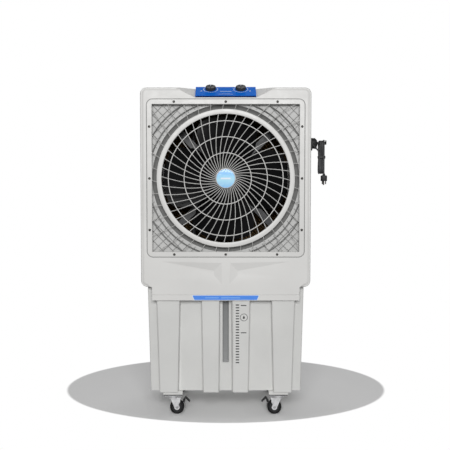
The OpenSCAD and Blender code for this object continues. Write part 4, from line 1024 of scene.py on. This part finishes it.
softCopy("casterPads", "caster_pads", "black", "pad_rubber", 0.8, 2)
softCopy("casterPlates", "caster_plates", "zinc", "zinc", 0.6, 2, 40)
softCopy("casterBolts", "caster_bolts", "steel", "steel", 0.4, 2, 40)
for row in ("front", "rear"):
    for side, s in (("left", -1), ("right", 1)):
        corner = f"{row}_{side}"
        middle = (s * caster["wheelX"], caster[row + "Y"], caster["axleZ"])
        bm = cadCopy(corner + "_fork")
        narrowLegs(bm, middle[0])
        fork = meshObject(corner + "_forkPlate", bm, "zinc", "zinc", [corner + "_fork"], corner + "_caster")
        softEdges(fork, 0.5, 2, 40)
        softCopy(corner + "_axleBolt", corner + "_axle", "steel", "steel", 0.5, 2, 40, corner + "_caster")
        bm = bmesh.new()
        spunShape(bm, tyreOutline, middle, fanAxis, 56)
        ownPiece(corner + "_tyre", bm, "tyre", "wheel_black", [corner + "_wheel"], corner + "_wheel")
        bm = bmesh.new()
        spunShape(bm, hubOutline, middle, fanAxis, 48)
        for i in range(caster["hubRibs"]):
            for near, far in ((-10.4, -8), (8, 10.4)):
                made = boxBetween(bm, (-1, near, 9), (1, far, 20.6))
                setDown(bm, made, middle, math.tau * i / caster["hubRibs"])
        ownPiece(corner + "_hub", bm, "hub", "wheel_black", body=corner + "_wheel")
for side in ("left", "right"):
    softCopy(side + "_pedalCap", side + "_brake_pedal", "black", "black_plastic", 1, 3, 35, side + "_pedal")
for side, s in (("left", -1), ("right", 1)):
    # a curved strap beside the wheel
    bm = bmesh.new()
    middle = Vector((s * caster["wheelX"], caster["frontY"], caster["axleZ"]))
    for v in flatGrid(bm, 18):
        a = math.radians(caster["shieldFrom"] + (caster["shieldTo"] - caster["shieldFrom"]) * (v.co.x + 0.5))
        r = caster["shieldRadius"]
        v.co = middle + Vector((-s * r * math.sin(a), v.co.y * caster["shieldWide"], r * math.cos(a)))
    bmesh.ops.recalc_face_normals(bm, faces=bm.faces)
    bmesh.ops.solidify(bm, geom=bm.faces[:], thickness=caster["shieldThick"])
    ownPiece(side + "_wheelShield", bm, "shroudLine", "black_plastic", body=f"front_{side}_caster")
print("casters done")

# White room to the eye, softer light on the object
white = (1, 1, 1, 1)
world = bpy.data.worlds.new("studio")
scene.world = world
world.use_nodes = True
sky = world.node_tree
softSky = sky.nodes["Background"]
softSky.inputs["Color"].default_value = white
softSky.inputs["Strength"].default_value = studio["skyLight"]
whiteSky = addNode(sky, "Background", {"Color": white})
seen = addNode(sky, "LightPath", {}).outputs["Is Camera Ray"]
shaders = {"Fac": seen, 1: softSky.outputs["Background"], 2: whiteSky.outputs["Background"]}
skyMix = addNode(sky, "MixShader", shaders)
sky.links.new(skyMix.outputs["Shader"], sky.nodes["World Output"].inputs["Surface"])

# Floor: a pale grey oval under the cooler, white further out
bm = bmesh.new()
flatGrid(bm, size=20)
floorMesh = bpy.data.meshes.new("floor")
bm.to_mesh(floorMesh)
bm.free()
floor = bpy.data.objects.new("floor", floorMesh)
scene.collection.objects.link(floor)
floorFinish, floorTree, floorShader, floorPlace = newFinish("paleFloor")
grey = studio["discGrey"]
mottle = ramp(floorTree, noise(floorTree, floorPlace, 2, 2), [(0.3, (grey,) * 3), (0.7, (grey * 1.02,) * 3)])
floorTree.links.new(mottle, floorShader.inputs["Base Color"])
floorShader.inputs["Roughness"].default_value = 0.8
floorShader.inputs["Specular IOR Level"].default_value = 0.1
oval = addNode(floorTree, "VectorMath", {0: floorPlace, 1: (studio["discStretch"], 1, 1)}, operation="MULTIPLY")
fromMiddle = addNode(floorTree, "VectorMath", {0: oval.outputs["Vector"], 1: (0, studio["discMiddle"], 0)},
                     operation="DISTANCE")
outside = span(floorTree, fromMiddle.outputs["Value"], *studio["discEdge"], 0, 1)
seen = addNode(floorTree, "LightPath", {}).outputs["Is Camera Ray"]
strength = span(floorTree, seen, 0, 1, studio["skyLight"], 1)
glow = addNode(floorTree, "Emission", {"Color": white, "Strength": strength})
shaders = {"Fac": outside, 1: floorShader.outputs["BSDF"], 2: glow.outputs["Emission"]}
floorMix = addNode(floorTree, "MixShader", shaders)
floorTree.links.new(floorMix.outputs["Shader"], floorTree.nodes["Material Output"].inputs["Surface"])
floor.data.materials.append(floorFinish)
floor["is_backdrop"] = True

low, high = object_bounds()
print("pieces ready")
